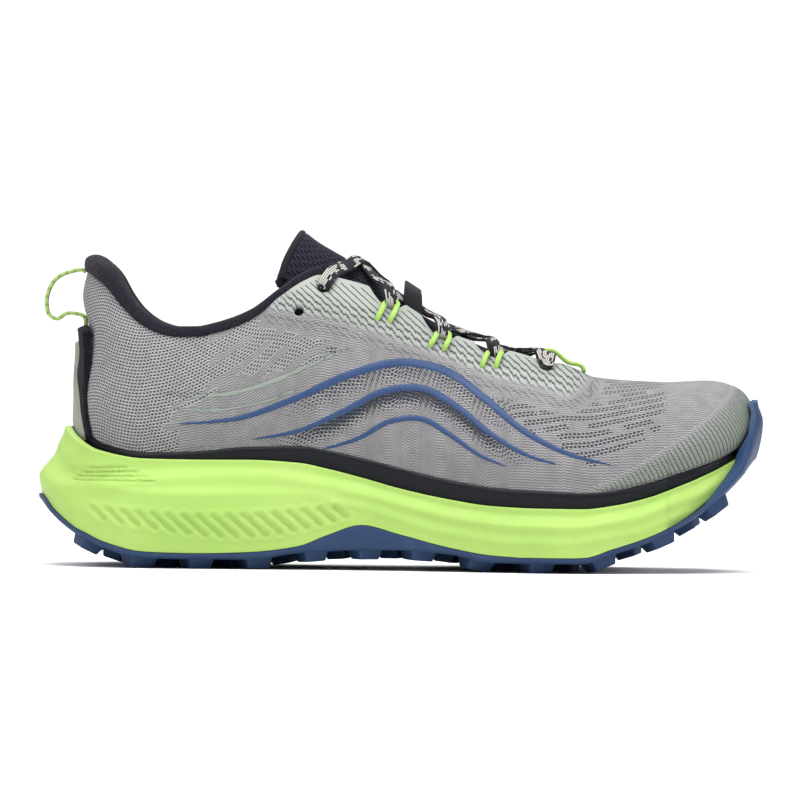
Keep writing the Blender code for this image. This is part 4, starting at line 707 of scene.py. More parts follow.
def foam_finish():
    """Moulded light green foam: a fine skin, soft mottling and faintly rubbed patches."""
    made = Finish("lime_foam")
    skin = made.noise(1900, 3.0, 0.6)
    mottle = made.noise(34, 4.0)
    pores = made.cells(1500).ramp(0.10, 0.0)
    rubbed = made.noise(16, 6.0, 0.7, made.position((1.0, 1.0, 2.2))).ramp(0.58, 0.74)
    base = made.mix(mottle.ramp(0.3, 0.7), (0.315, 0.485, 0.104), (0.352, 0.525, 0.124))
    base = made.mix(rubbed * 0.25, base, (0.39, 0.54, 0.18))
    base = made.mix(pores * 0.12, base, (0.17, 0.34, 0.045))
    made.bump(skin * 0.5 - pores * 0.5 + mottle * 0.5, 0.00014, 0.7)
    return made.set(
        Base_Color=base, Roughness=(mottle * 0.12 + skin * 0.1 + 0.40), Specular_IOR_Level=0.30,
        Subsurface_Weight=0.06, Subsurface_Radius=(0.6, 1.0, 0.3), Subsurface_Scale=0.002,
    )


def rubber_finish():
    """Blue rubber: matt and faintly mottled, with a painted highlight that makes its convex edges paler, and
    soft flow marks.
    """
    made = Finish("blue_rubber")
    mottle = made.noise(70, 4.0)
    grain = made.noise(1800, 2.0, 0.65)
    flow = made.noise(24, 5.0, 0.6, made.position((1.6, 0.6, 1.0))).ramp(0.55, 0.72)
    corner = self_edge(made)
    base = made.mix(mottle, (0.012, 0.031, 0.083), (0.018, 0.043, 0.108))
    # Convex edges painted paler: a painted highlight where the edges catch the light.
    base = made.mix(corner * 0.35, base, (0.036, 0.074, 0.158))
    base = made.mix(flow * 0.15, base, (0.070, 0.100, 0.150))
    made.bump(grain * 0.5 + mottle * 0.3, 0.00016, 0.7)
    return made.set(Base_Color=base, Roughness=(mottle * 0.16 + grain * 0.08 + 0.46), Specular_IOR_Level=0.25)


def self_edge(made):
    """How convex the surface is, from the mesh's own shape."""
    node = made.tree.nodes.new("ShaderNodeNewGeometry")
    return Field(made.tree, node.outputs["Pointiness"]).ramp(0.515, 0.60)


def collar_finish():
    """Soft dark lining cloth with a crackled knit of small cells."""
    made = Finish("aubergine_collar_cloth")
    x, y, _ = made.attribute("flat")
    where = made.together(x * 0.36, y * 0.36)
    cracks = made.cells(1.0, where, randomness=0.95)
    weave = x.wave(0.62) * y.wave(0.62)
    fibres = made.noise(2800, 2.0, 0.7)
    worn = made.noise(55, 3.0)
    base = made.mix(worn, (0.0085, 0.0070, 0.0125), (0.0160, 0.0135, 0.0215))
    base = made.mix(weave * 0.35, base, (0.032, 0.028, 0.041))
    base = made.mix(cracks.ramp(0.07, 0.0) * 0.75, base, (0.003, 0.003, 0.006))
    made.bump(cracks.ramp(0.0, 0.16) * 0.8 + weave * 0.35 + fibres * 0.25, 0.00032, 0.8)
    return made.set(
        Base_Color=base, Roughness=(fibres * 0.12 + 0.80), Sheen_Weight=0.06, Sheen_Roughness=0.5,
        Specular_IOR_Level=0.10,
    )


def tongue_finish():
    """Open dark spacer mesh: large staggered pores between bundled threads."""
    made = Finish("navy_tongue_mesh")
    x, y, _ = made.attribute("flat")
    pores = holes(x, y, 2.9, 1.75, 2.1, 1.15)
    threads = (y * 3.1).math("SINE") * (x * 2.4).math("SINE") * 0.5 + 0.5
    fibres = made.noise(2300, 2.0, 0.7)
    worn = made.noise(70, 3.0)
    base = made.mix(worn, (0.008, 0.0075, 0.016), (0.017, 0.016, 0.030))
    base = made.mix(threads * 0.35, base, (0.036, 0.036, 0.060))
    base = made.mix(pores * 0.92, base, (0.002, 0.002, 0.005))
    made.bump(threads * 0.25 + fibres * 0.2 - pores * 1.2, 0.00055, 0.9)
    return made.set(
        Base_Color=base, Roughness=(fibres * 0.14 + 0.70), Sheen_Weight=0.05, Specular_IOR_Level=0.12
    )


def cloth_finish(name, colours, pitch, depth):
    """Plain woven webbing: ribs across, threads along, a little fuzz."""
    made = Finish(name)
    x, y, _ = made.attribute("flat")
    ribs = (x + (y / pitch).floor() * (pitch * 0.5)).wave(pitch)
    threads = y.wave(pitch * 0.8)
    fibres = made.noise(2600, 2.0, 0.7)
    worn = made.noise(90, 3.0)
    base = made.mix(worn, colours[0], colours[1])
    base = made.mix((ribs * threads).ramp(0.45, 0.0) * 0.55, base, colours[2])
    made.bump(ribs * 0.5 + threads * 0.4 + fibres * 0.3, depth, 0.85)
    return made.set(
        Base_Color=base, Roughness=(fibres * 0.14 + 0.68), Sheen_Weight=0.06, Specular_IOR_Level=0.15
    )


def lace_finish():
    """Flat braid of black and off-white yarns, broken into flecks."""
    made = Finish("flecked_lace")
    x, y, _ = made.attribute("flat")
    strand = (x + y * 1.1).wave(1.1) * 0.5 + (x - y * 1.1).wave(1.1) * 0.5
    lane = (y / LACE_LANE + 0.5).floor()
    flecks = made.noise(1.0, 0.0, 0.4, made.together(x * 0.26, lane * 5.3))
    blocks = made.noise(1.0, 0.0, 0.4, made.together(x * 0.13, lane * 0.15, 6.0))
    pale = (flecks * 0.55 + blocks * 0.55).ramp(0.535, 0.565) * (y / LACE_LANE).wave(1.0).ramp(0.05, 0.35)
    fibres = made.noise(3000, 2.0, 0.7)
    base = made.mix(pale, (0.009, 0.009, 0.016), (0.460, 0.448, 0.400))
    base = made.mix(strand.ramp(0.30, 0.02) * 0.35, base, (0.006, 0.006, 0.010))
    made.bump(strand * 0.6 + fibres * 0.25 + (y / LACE_LANE).wave(1.0) * 0.6, 0.00028, 0.9)
    return made.set(
        Base_Color=base, Roughness=(fibres * 0.12 + 0.72), Sheen_Weight=0.06, Specular_IOR_Level=0.15
    )


def pull_finish():
    """Lime webbing with a grey chevron core."""
    made = Finish("lime_pull_webbing")
    x, y, _ = made.attribute("flat")
    chevron = (x + (y.math("ABSOLUTE")) * 0.9).wave(2.9)
    ribs = (x + y.math("ABSOLUTE") * 0.9).wave(0.72)
    core = y.math("ABSOLUTE").ramp(2.5, 2.1)
    fibres = made.noise(2600, 2.0, 0.7)
    base = made.mix(fibres, (0.300, 0.450, 0.110), (0.400, 0.540, 0.170))
    base = made.mix(core * 0.75, base, (0.38, 0.43, 0.30))
    base = made.mix(core * chevron.ramp(0.70, 0.92) * 0.85, base, (0.085, 0.115, 0.060))
    base = made.mix((x + y * 0.4).wave(3.4).ramp(0.62, 0.86) * 0.55, base, (0.12, 0.17, 0.07))
    base = made.mix(ribs.ramp(0.4, 0.0) * 0.35, base, (0.10, 0.18, 0.05))
    made.bump(ribs * 0.7 + fibres * 0.25, 0.00026, 0.9)
    return made.set(
        Base_Color=base, Roughness=(fibres * 0.12 + 0.70), Sheen_Weight=0.06, Specular_IOR_Level=0.15
    )


def pile_finish():
    """Black brushed loop tape."""
    made = Finish("black_pile_tape")
    tufts = made.noise(1100, 5.0, 0.8)
    clumps = made.noise(260, 3.0, 0.6)
    base = made.mix(tufts.ramp(0.35, 0.7), (0.002, 0.002, 0.004), (0.012, 0.013, 0.020))
    made.bump(tufts * 0.8 + clumps * 0.5, 0.00070, 1.0)
    return made.set(
        Base_Color=base, Roughness=(clumps * 0.1 + 0.86), Sheen_Weight=0.05, Specular_IOR_Level=0.08
    )


def floor_finish():
    made = Finish("studio_floor")
    paper = made.noise(9, 4.0)
    base = made.mix(paper, (0.880, 0.880, 0.880), (0.900, 0.900, 0.900))
    made.bump(paper, 0.0002, 0.2)
    return made.set(Base_Color=base, Roughness=(paper * 0.1 + 0.75), Specular_IOR_Level=0.1)


def linked(name, data):
    """A new object that shows the data, put into the scene."""
    made = bpy.data.objects.new(name, data)
    bpy.context.scene.collection.objects.link(made)
    return made


def add_piece(name, points, faces, finishes, replaces=(), attributes=None):
    """A shown piece from points and faces, smooth and riding on the shoe."""
    mesh = bpy.data.meshes.new(name)
    mesh.from_pydata(np.asarray(points, float).reshape(-1, 3).tolist(), [], faces)
    for attribute, values in (attributes or {}).items():
        made = mesh.attributes.new(attribute, "FLOAT_VECTOR", "POINT")
        made.data.foreach_set("vector", np.asarray(values, np.float32).ravel())
    mesh.validate()
    mesh.shade_smooth()
    for finish in finishes:
        mesh.materials.append(finish)
    piece = linked(name, mesh)
    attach(piece, "root")
    if replaces:
        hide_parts(*replaces)
    return piece


def turned_out(piece, outward):
    """Faces the piece outwards: outward is a direction for each of its points."""
    mesh = piece.data
    total = 0.0
    for polygon in mesh.polygons:
        total += polygon.normal.dot(Vector(outward[polygon.vertices[0]])) * polygon.area
    if total < 0:
        mesh.flip_normals()
    return piece


def grid_faces(levels, columns, closed):
    """Four-sided faces between the levels of a grid, with its last column joined to its first if closed."""
    faces = []
    for low in range(0, (levels - 1) * columns, columns):
        high = low + columns
        for i in range(columns if closed else columns - 1):
            after = (i + 1) % columns
            faces.append((low + i, low + after, high + after, high + i))
    return faces


def ring_faces(rings, count):
    """Faces of a closed skin over a row of rings, both ends capped."""
    last = (rings - 1) * count
    caps = [tuple(range(count)), tuple(range(last + count - 1, last - 1, -1))]
    return grid_faces(rings, count, True) + caps


def upright_form(columns):
    """Points, outward directions and faces of a closed form from its (row, side, section) columns."""
    count, size = len(columns[0][2]), len(columns)
    points, outward = np.zeros((count, size, 3)), np.zeros((size, 3))
    for i, (row, side, found) in enumerate(columns):
        turn = math.radians(section("turn", row))
        outward[i] = (math.sin(turn), side * math.cos(turn), 0)
        points[:, i] = point(row, side, 0, 0) + found[:, :1] * outward[i]
        points[:, i, 2] = found[:, 1]
    faces = grid_faces(count, size, True)
    half = size // 2
    for start in (0, (count - 1) * size):
        faces.append((start, start + 1, start + size - 1))
        for i in range(1, half - 1):
            faces.append((start + i, start + i + 1, start + size - i - 1, start + size - i))
        faces.append((start + half - 1, start + half, start + half + 1))
    return points, outward, faces


@functools.lru_cache(maxsize=None)
def skin(spacing, levels):
    """The upper's outer face as a closed grid: points, normals and flat places, with the reach to the toe."""
    rows = even_rows(spacing)
    sides = around(rows, lambda row, side: (row, side))
    points = np.zeros((levels + LOW_LEVELS, len(sides), 3))
    flat = np.zeros(points.shape)
    heel_x = place(HEEL_FAN_END, LATERAL, 0)[0]
    toe_x = place(TOE_FAN_START, LATERAL, 0)[0]
    belly = {side: belly_reach(rows, side) for side in (LATERAL, MEDIAL)}
    for i, (row, side) in enumerate(sides):
        radii, heights, down = rib_line(row, side, LOW_LEVELS, levels)
        turn = math.radians(section("turn", row))
        x, y = place(row, side, 0)
        points[:, i] = np.stack([x + radii * math.sin(turn), y + side * radii * math.cos(turn), heights], 1)
        here = belly[side][rows.index(row)]
        flat[:, i, 2] = (belly[side][-1] - here) * 1000
        if row < HEEL_FAN_END:
            reach = np.interp(HEEL_FAN_END, rows, belly[side]) - here
            flat[:, i, 0] = (heel_x - reach) * 1000
            flat[:, i, 1] = down * 1000
        elif row <= TOE_FAN_START:
            flat[:, i, 0] = x * 1000
            flat[:, i, 1] = down * 1000
        else:
            flat[:, i, 0] = (toe_x + down * math.sin(turn)) * 1000
            flat[:, i, 1] = down * math.cos(turn) * 1000
    forward = np.roll(points, -1, 1) - np.roll(points, 1, 1)
    normals = np.cross(forward, np.gradient(points, axis=0))
    normals = normals / np.maximum(np.linalg.norm(normals, axis=2, keepdims=True), 1e-12)
    normals[-1] = normals[-2]
    if normals[levels // 2, len(rows) // 2, 1] > 0:
        normals = -normals
    crown = np.array([section("edge", row) for row, _ in sides]) < 0.01
    normals[-1, crown] = (0, 0, 1)
    return points, normals, flat


def rounded(outline, times=3):
    """Closed outline with its corners cut off a few times."""
    shape = np.array(outline, float)
    for _ in range(times):
        ahead = np.roll(shape, -1, 0)
        shape = np.stack([shape * 0.75 + ahead * 0.25, shape * 0.25 + ahead * 0.75], 1).reshape(-1, 2)
    return shape


def nearest_on(a, b, path, closed=False):
    """Distance of the points (a, b) from a line of straight stretches, and how far along it that is."""
    path = np.asarray(path, float)
    ends = np.roll(path, -1, 0) if closed else path[1:]
    best, along = np.full(a.shape, 1e9), np.zeros(a.shape)
    for i, ((ax, az), (bx, bz)) in enumerate(zip(path, ends)):
        dx, dz = bx - ax, bz - az
        share = np.clip(((a - ax) * dx + (b - az) * dz) / max(dx * dx + dz * dz, 1e-12), 0, 1)
        away = np.hypot(a - ax - share * dx, b - az - share * dz)
        nearer = away < best
        best, along = np.where(nearer, away, best), np.where(nearer, i + share, along)
    return best, along


def inside_distance(a, b, outline):
    """Distance from the outline, above zero inside it."""
    inside = np.zeros(a.shape, bool)
    for (ax, az), (bx, bz) in zip(outline, np.roll(outline, -1, 0)):
        if az == bz:
            continue
        crosses = (az > b) != (bz > b)
        inside ^= crosses & (a < (bx - ax) * (b - az) / (bz - az) + ax)
    return nearest_on(a, b, outline, True)[0] * np.where(inside, 1, -1)


def clipped(data, keep):
    """The part of a closed grid where keep is above zero, cut cleanly through its cells."""
    levels, columns, width = data.shape
    flat_data, values = data.reshape(-1, width), keep.ravel()
    kept = (values > 0).tolist()
    made, index, faces = [], {}, []

    def corner(i):
        if i not in index:
            index[i] = len(made)
            made.append(flat_data[i])
        return index[i]

    def crossing(i, j):
        key = (min(i, j), max(i, j))
        if key not in index:
            low, high = values[key[0]], values[key[1]]
            share = low / (low - high)
            index[key] = len(made)
            made.append(flat_data[key[0]] * (1 - share) + flat_data[key[1]] * share)
        return index[key]

    for cell in grid_faces(levels, columns, True):
        states = [kept[i] for i in cell]
        if not any(states):
            continue
        face = []
        for i, j, state, following in zip(cell, cell[1:] + cell[:1], states, states[1:] + states[:1]):
            if state:
                face.append(corner(i))
            if state != following:
                face.append(crossing(i, j))
        if len(face) > 2:
            faces.append(face)
    return np.array(made), faces


@functools.lru_cache(maxsize=None)
def row_at(x):
    rows = np.linspace(HEEL_FAN_END, TOE_FAN_START, 481)
    xs = [place(row, LATERAL, 0)[0] for row in rows]
    return float(np.interp(x, xs, rows))


@functools.lru_cache(maxsize=None)
def throat_spot(x, side, inset):
    """Point on the upper's outer face, inset down from the throat's edge at x, and the face's normal."""
    row = row_at(x)
    ribs = np.array(rib(row, side))[::-1]
    reach = reach_along(ribs)

    def spot(at, along_row):
        radii, heights = np.array(rib(along_row, side))[::-1].T
        return Vector(point(along_row, side, np.interp(at, reach, radii), np.interp(at, reach, heights)))

    centre = spot(inset, row)
    down = spot(inset + 0.002, row) - spot(inset - 0.002, row)
    forward = spot(inset, row + 0.1) - spot(inset, row - 0.1)
    normal = down.cross(forward).normalized()
    return centre, normal * (1 if normal.z > 0 else -1)


# The dark slits that comb the films into the knit: their spacing in millimetres, their slope in degrees at
# the throat, their lean at the toe and where the one kind ends and the other starts
COMB_PITCH = 2.05
COMB_SLANT = 42
TOE_COMB_PITCH = 2.35
TOE_COMB_LEAN = 0.62
COMB_CHANGE = 78

# Films on the knit: their colours, how far the raised lines stand out, how many millimetres the rand reaches
# below the foam's top and where it starts at the heel
EYESTAY_COLOURS = ((0.300, 0.328, 0.296), (0.256, 0.283, 0.252))
# The toe cap's film colours are a darker copy of the mint eyestay film's: painted shade for the toe's
# downward and forward faces.
TOE_FILM_PAINTED_SHADE_COLOURS = ((0.170, 0.196, 0.166), (0.138, 0.162, 0.136))
GUARD_COLOURS = ((0.250, 0.250, 0.215), (0.205, 0.205, 0.175))
CONTOUR_FILM = 0.00045
FILM_SUNK = 0.00012
RAND_FOOT = 6.0
RAND_START = -131.0
TAPE_STAND = 0.0032

# The spare eyelet behind the laced one, and the lining that shows through it
SPARE_EYELET_X = -0.0427
SPARE_EYELET_INSET = 0.0130
EYELET_SNUG = 0.92
PATCH_RADIUS = 0.0040
PATCH_DEPTH = WALL + 0.0011
PATCH_DISH = 0.0008

# Side view places in millimetres of what is drawn on the upper, each line with its width
HILL_LINES = (
    (((-92, 59), (-66, 62), (-44, 70), (-22, 80), (0, 85.5), (18, 82), (34, 71), (50, 58), (68, 49),
      (88, 44)), 3.3),
    (((-62, 53), (-42, 57), (-24, 65), (-6, 74), (8, 75), (22, 68), (36, 57), (52, 48), (66, 44)), 2.8),
    (((-34, 49), (-18, 54), (-4, 61.5), (8, 62.5), (20, 56), (32, 48), (44, 43)), 2.3),
)
PRINTED_LINES = (
    (((-100, 72), (-78, 71), (-56, 76), (-38, 84), (-22, 91)), 1.7),
    (((-84, 50), (-64, 48), (-44, 50), (-26, 46), (-8, 40)), 1.9),
    (((-96, 65.5), (-76, 65), (-56, 69), (-40, 75)), 1.2),
)


@functools.lru_cache(maxsize=None)
def swept_line(corners):
    """The drawn line as a round curve."""
    corners = np.array(corners, float)
    reach = reach_along(corners)
    at = np.linspace(0, reach[-1], 60)
    return np.stack([spline(reach, corners[:, k], at) for k in range(2)], 1)


def drawn_line(x, z, corners, width):
    """Above zero on a line that tapers at both ends, in millimetres."""
    path = swept_line(corners)
    away, along = nearest_on(x, z, path)
    share = np.clip(along / (len(path) - 1), 0, 1)
    return width / 2 * np.sin(np.pi * share) ** 0.55 - away


def contour_lines(x, z, lines):
    return np.maximum.reduce([drawn_line(x, z, corners, width) for corners, width in lines])


def under_line(x, z, corners):
    """How far below a drawn line a place lies, in millimetres; below zero above it."""
    path = swept_line(corners)
    return np.where((x > path[0, 0]) & (x < path[-1, 0]), np.interp(x, path[:, 0], path[:, 1]) - z, -9.0)


def eyelet_centres():
    """Places of the eyelets on both sides: the laced ones and the spare one behind them."""
    found = []
    for side in (LATERAL, MEDIAL):
        found.append(throat_spot(loop_x(TOP_EYELET_PLACE), side, EYELET_INSET)[0])
        found.append(throat_spot(loop_x(FRONT_EYELET_PLACE), side, EYELET_INSET)[0])
        found.append(throat_spot(SPARE_EYELET_X, side, SPARE_EYELET_INSET)[0])
    return found


def film_edges(x, z):
    """Distance in millimetres inside the eyestay's film, the toe cap's film and the latter's inner edge."""
    def drawn(outline):
        return [((a - 0.5) * SHOE_LENGTH * 1000, h * INSTEP_HEIGHT * 1000) for a, h in outline]

    band = [(a, side_line("band", a / 1000) * 1000 + 1.2) for a in np.linspace(75, 156, 12)]
    shape = drawn(TOE_CAP_OUTLINE)
    inner = [(200, 84)] + shape[1:] + [(60, -60), (200, -60)]
    outlines = (drawn(EYESTAY_OUTLINE), shape + band, inner)
    return [inside_distance(x, z, rounded(corners)) for corners in outlines]


@functools.lru_cache(maxsize=None)
def marked_skin(spacing, levels):
    """The skin's grid with all that its materials need, [point, normal, flat, zone, marks], and film edges.

    zone holds how open the knit is, how dark its print is and where the slits show. marks holds the place
    across the slits, the reach inside the films and the pale printed lines.
    """
    points, normals, flat = skin(spacing, levels)
    x, z = points[..., 0] * 1000, points[..., 2] * 1000
    eyestay, toe_cap, toe_inner = film_edges(x, z)
    to_edge = flat[..., 1] - flat[-1:, :, 1]
    slant = math.radians(COMB_SLANT)
    comb_eye = x * math.sin(slant) + z * math.cos(slant)
    comb_toe = (flat[..., 2] - (z - 40) * TOE_COMB_LEAN) * COMB_PITCH / TOE_COMB_PITCH
    comb = np.where(x > COMB_CHANGE, comb_toe, comb_eye)
    eye_fade = smooth(eyestay, -6.0, 0.5) * smooth(to_edge, 2.4, 4.2)
    toe_fade = smooth(toe_inner, -1.0, 5.0) * smooth(toe_inner, 18.0, 15.5) * smooth(x, 72, 86)
    fade = np.maximum(eye_fade, toe_fade)
    first, second, third = [under_line(x, z, corners) for corners, _ in HILL_LINES]
    ends = smooth(x, -66, -24) * smooth(x, 62, 28)
    between = smooth(first, 0, 1.2) * smooth(second, 1.0, 0.0)
    below = smooth(second, 0, 1.2) * smooth(third, 1.0, 0.0)
    shade = (between * smooth(first, 15, 2) * 0.62 + below * smooth(second, 12, 1.5)) * ends
    heel = smooth(x, -66, -86) * smooth(z, 40, 50)
    toe_box = smooth(x, 4, 30) * smooth(x, 118, 96) * smooth(z, 34, 42) * 0.92
    under_eyestay = smooth(z, 74, 82) * smooth(x, 0, -16) * 0.60
    quarter = np.maximum(under_eyestay, smooth(z + 0.30 * x, 72, 80) * smooth(x, -30, -48))
    clear = smooth(eyestay, -2.0, -10.0) * smooth(toe_cap, -3.0, -12.0)
    outside = 1 - smooth(first, -3.0, 1.0) * smooth(x, 84, 66)
    swathe = np.exp(-((z - 62 - (x + 92) * 0.34) / 5.5) ** 2) * smooth(x, -104, -90)
    dots = np.maximum(np.maximum(heel, toe_box), quarter) * clear * outside * (1 - 0.85 * swathe)
    printed = smooth(contour_lines(x, z, PRINTED_LINES), -0.22, 0.22)
    zone = np.stack([dots, shade, fade], -1)
    marks = np.stack([comb, np.maximum(eyestay, toe_inner), printed * smooth(z, 38, 44)], -1)
    data = np.concatenate([points, normals, flat, zone, marks], -1)
    return data, eyestay, toe_cap, toe_inner, to_edge


def cut_piece(name, data, keep, lift, finishes, replaces=()):
    """A piece from the marked skin, cut where keep ends, each point raised along its normal by lift."""
    table, faces = clipped(np.concatenate([data, lift[..., None]], -1), keep)
    points = table[:, 0:3] + table[:, 3:6] * table[:, 15:16]
    attributes = {"flat": table[:, 6:9], "zone": table[:, 9:12], "marks": table[:, 12:15]}
    piece = add_piece(name, points, faces, finishes, replaces, attributes)
    return turned_out(piece, table[:, 3:6])


def from_eyelets(points):
    """Distance of each point from the nearest eyelet's rim, in millimetres, below zero inside the hole."""
    best = np.full(points.shape[:2], 1e9)
    for centre in eyelet_centres():
        best = np.minimum(best, np.linalg.norm(points - np.array(centre), axis=-1) * 1000)
    return best - EYELET_DIAMETER * 500 * EYELET_SNUG


def add_upper():
    """The knit shell with its eyelets, lined inside."""
    data = marked_skin(SKIN_SPACING, SKIN_LEVELS)[0]
    keep = from_eyelets(data[..., 0:3])
    finishes = [knit_finish(), lining_finish()]
    add_eyelet_lining(finishes[1])
    flush = np.zeros(keep.shape)
    upper = cut_piece("knit_upper", data, keep, flush, finishes, ["upper"])
    solid = upper.modifiers.new("Thickness", "SOLIDIFY")
    solid.thickness = WALL
    solid.offset = -1
    solid.use_even_offset = False
    solid.material_offset = 1


def add_eyelet_lining(finish):
    """A dark patch of lining behind each spare eyelet, a little deeper in its middle."""
    rings, steps = 6, 28
    for side, word in ((LATERAL, "outer"), (MEDIAL, "inner")):
        centre, out = throat_spot(SPARE_EYELET_X, side, SPARE_EYELET_INSET)
        across = Vector((1, 0, 0)).cross(out).normalized()
        ahead = out.cross(across)
        points, flat, faces = [tuple(centre - out * PATCH_DEPTH)], [(0, 0, 0)], []
        for ring in range(1, rings + 1):
            radius = PATCH_RADIUS * ring / rings
            sunk = PATCH_DEPTH - PATCH_DISH * (ring / rings) ** 2
            for step in range(steps):
                turn = step * math.tau / steps
                a, b = radius * math.cos(turn), radius * math.sin(turn)
                points.append(tuple(centre + across * a + ahead * b - out * sunk))
                flat.append((a * 1000, b * 1000, 0))
        for step in range(steps):
            after = (step + 1) % steps
            faces.append((0, 1 + step, 1 + after))
            for ring in range(rings - 1):
                low, high = 1 + ring * steps, 1 + (ring + 1) * steps
                faces.append((low + step, high + step, high + after, low + after))
        piece = add_piece(f"eyelet_lining_{word}", points, faces, [finish], (), {"flat": flat})
        turned_out(piece, [out] * len(points))


def film_lift(inside, thickness, round_over=0.9):
    """Height of a film's top: full inside, rolling down into the knit at its edge."""
    share = np.clip(inside / round_over, 0, 1)
    return -FILM_SUNK + (thickness + FILM_SUNK) * np.sqrt(1 - (1 - share) ** 2)


def add_films():
    """The eyestay's and the toe cap's films, thinner where they comb into the knit, and the raised lines."""
    data, eyestay, toe_cap, toe_inner, to_edge = marked_skin(FILM_SPACING, FILM_LEVELS)
    rims = from_eyelets(data[..., 0:3])
    inside = np.minimum(np.minimum(eyestay, rims), to_edge + 0.02)
    for node, keep, edge, material, colours, reach in (
        ("eyestay", inside, eyestay, "mint_film", EYESTAY_COLOURS, 12.0),
        # The toe cap's film takes the darker colours: painted shade on the toe.
        ("toe_cap", toe_cap, toe_inner, "toe_film_painted_shade", TOE_FILM_PAINTED_SHADE_COLOURS, 9.5),
    ):
        thinned = FILM * 0.25 + (FILM * 0.75 + GAP) * smooth(edge, 0.0, 7.0)
        finish = film_finish(material, *colours, reach)
        cut_piece(f"{node}_film", data, keep, film_lift(keep, thinned), [finish], [node])
    lines = contour_lines(data[..., 0] * 1000, data[..., 2] * 1000, HILL_LINES)
    lift = film_lift(lines, CONTOUR_FILM, 0.6)
    cut_piece("contour_film", data, lines, lift, [contour_finish()])


def add_rand():
    """Dark band round the upper's foot, its top edge rolled into the knit."""
    data = marked_skin(FILM_SPACING, FILM_LEVELS)[0]
    x, z = data[..., 0] * 1000, data[..., 2] * 1000
    foot = data[LOW_LEVELS, :, 0].tolist()
    straight, foam = [np.array([side_line(name, v) * 1000 for v in foot]) for name in ("band", "foam")]
    rise = 0.4 + 2.4 * np.exp(-(((x + 16) / 36) ** 2))
    top = np.maximum(straight, foam + LIP_REVEAL * 1000) + rise
    inside = np.minimum(np.minimum(top - z, z - foam + RAND_FOOT), (x - RAND_START) * 0.9)
    lift = film_lift(inside, RAND + GAP, 1.4)
    cut_piece("rand_band", data, inside, lift, [rand_finish()], ["rand"])


def add_heel_layers():
    """Brushed tape up the heel's back and the pale waisted guard over it."""
    data = marked_skin(FILM_SPACING, FILM_LEVELS)[0]
    width = section("feather", HEEL_FAN_END) * LAST_WIDTH / 2 * 1000
    centre = (raw_place(0, LATERAL, 0)[1] - MIDDLE_Y) * 1000

    def outline(rows):
        right = [(centre + share * width, height * HEEL_HEIGHT * 1000) for share, height in rows]
        return rounded(right + [(2 * centre - y, z) for y, z in reversed(right)], 2)

    y, z = data[..., 1] * 1000, data[..., 2] * 1000
    behind = -60 - data[..., 0] * 1000
    tape = np.minimum(inside_distance(y, z, outline(HEEL_TAPE_OUTLINE)), behind)
    guard = np.minimum(inside_distance(y, z, outline(HEEL_GUARD_OUTLINE)), behind)
    stand = TAPE_STAND * smooth(z, 68, 97)
    lift = film_lift(tape, HEEL_TAPE + GAP + stand, 1.0)
    cut_piece("heel_pile_tape", data, tape, lift, [pile_finish()], ["heel_tape"])
    plain = data.copy()
    plain[..., 11], plain[..., 13] = 0, 30
    lift = film_lift(guard, 2 * GAP + HEEL_TAPE + HEEL_GUARD + stand, 1.2)
    finish = film_finish("olive_guard_film", *GUARD_COLOURS, 1.0)
    cut_piece("heel_guard_film", plain, guard, lift, [finish], ["heel_guard"])


def plate_top(x):
    return side_line("rocker", x) + PLATE


def lip_gap(row):
    return (RAND + 2 * GAP) * section("lip", row)


@functools.lru_cache(maxsize=None)
def foam_top(row, side):
    height = side_line("foam", place(row, side, section("feather", row) * LAST_WIDTH / 2 * 1.06)[0])
    return rib_radius(row, side, height) + lip_gap(row), height


@functools.lru_cache(maxsize=None)
def foam_outer(row, side):
    wide = sole_radius(row, side)
    drawn_in = min(foam_top(row, side)[0] + LIP * 0.6, wide - 1.2 * WING - 2 * GAP)
    return wide + (drawn_in - wide) * min(1.0, 2 * section("recess", row))


def bumper_inner(row, side, height):
    if height <= foam_top(row, side)[1] + 2 * GAP:
        return foam_outer(row, side) + 2 * GAP
    return rib_radius(row, side, height) + BUMPER_STAND_OFF


@functools.lru_cache(maxsize=None)
def rim_height(row, side):
    x = place(row, side, sole_radius(row, side))[0]
    return max(side_line("rim", x), plate_top(x))


# Moulded relief on the foam's side, in millimetres seen from the side: soft ridges as (path, width, height)
FOAM_RIDGES = (
    (((-149, 36), (-140, 33.0), (-122, 33.0), (-100, 36.5), (-75, 38.5), (-52, 38.3), (-30, 34.5), (-8, 29.0),
      (20, 22.0), (45, 18.8), (72, 18.2), (98, 22.5), (122, 32.5), (138, 42.0)), 2.6, 0.85),
    (((-40, 30.5), (-14, 25.5), (14, 17.0), (42, 12.6), (70, 12.2), (98, 17.2), (124, 28.5)), 2.0, 0.55),
)
FOAM_STEPS = (
    ((-128, 40.6), (-113, 41.2)), ((-131, 38.9), (-108, 39.3)),
    ((-133, 37.2), (-104, 37.4)), ((-134, 35.6), (-101, 35.4)),
)
GROOVES_FROM, GROOVES_TO, GROOVES = -126.0, -27.0, 17


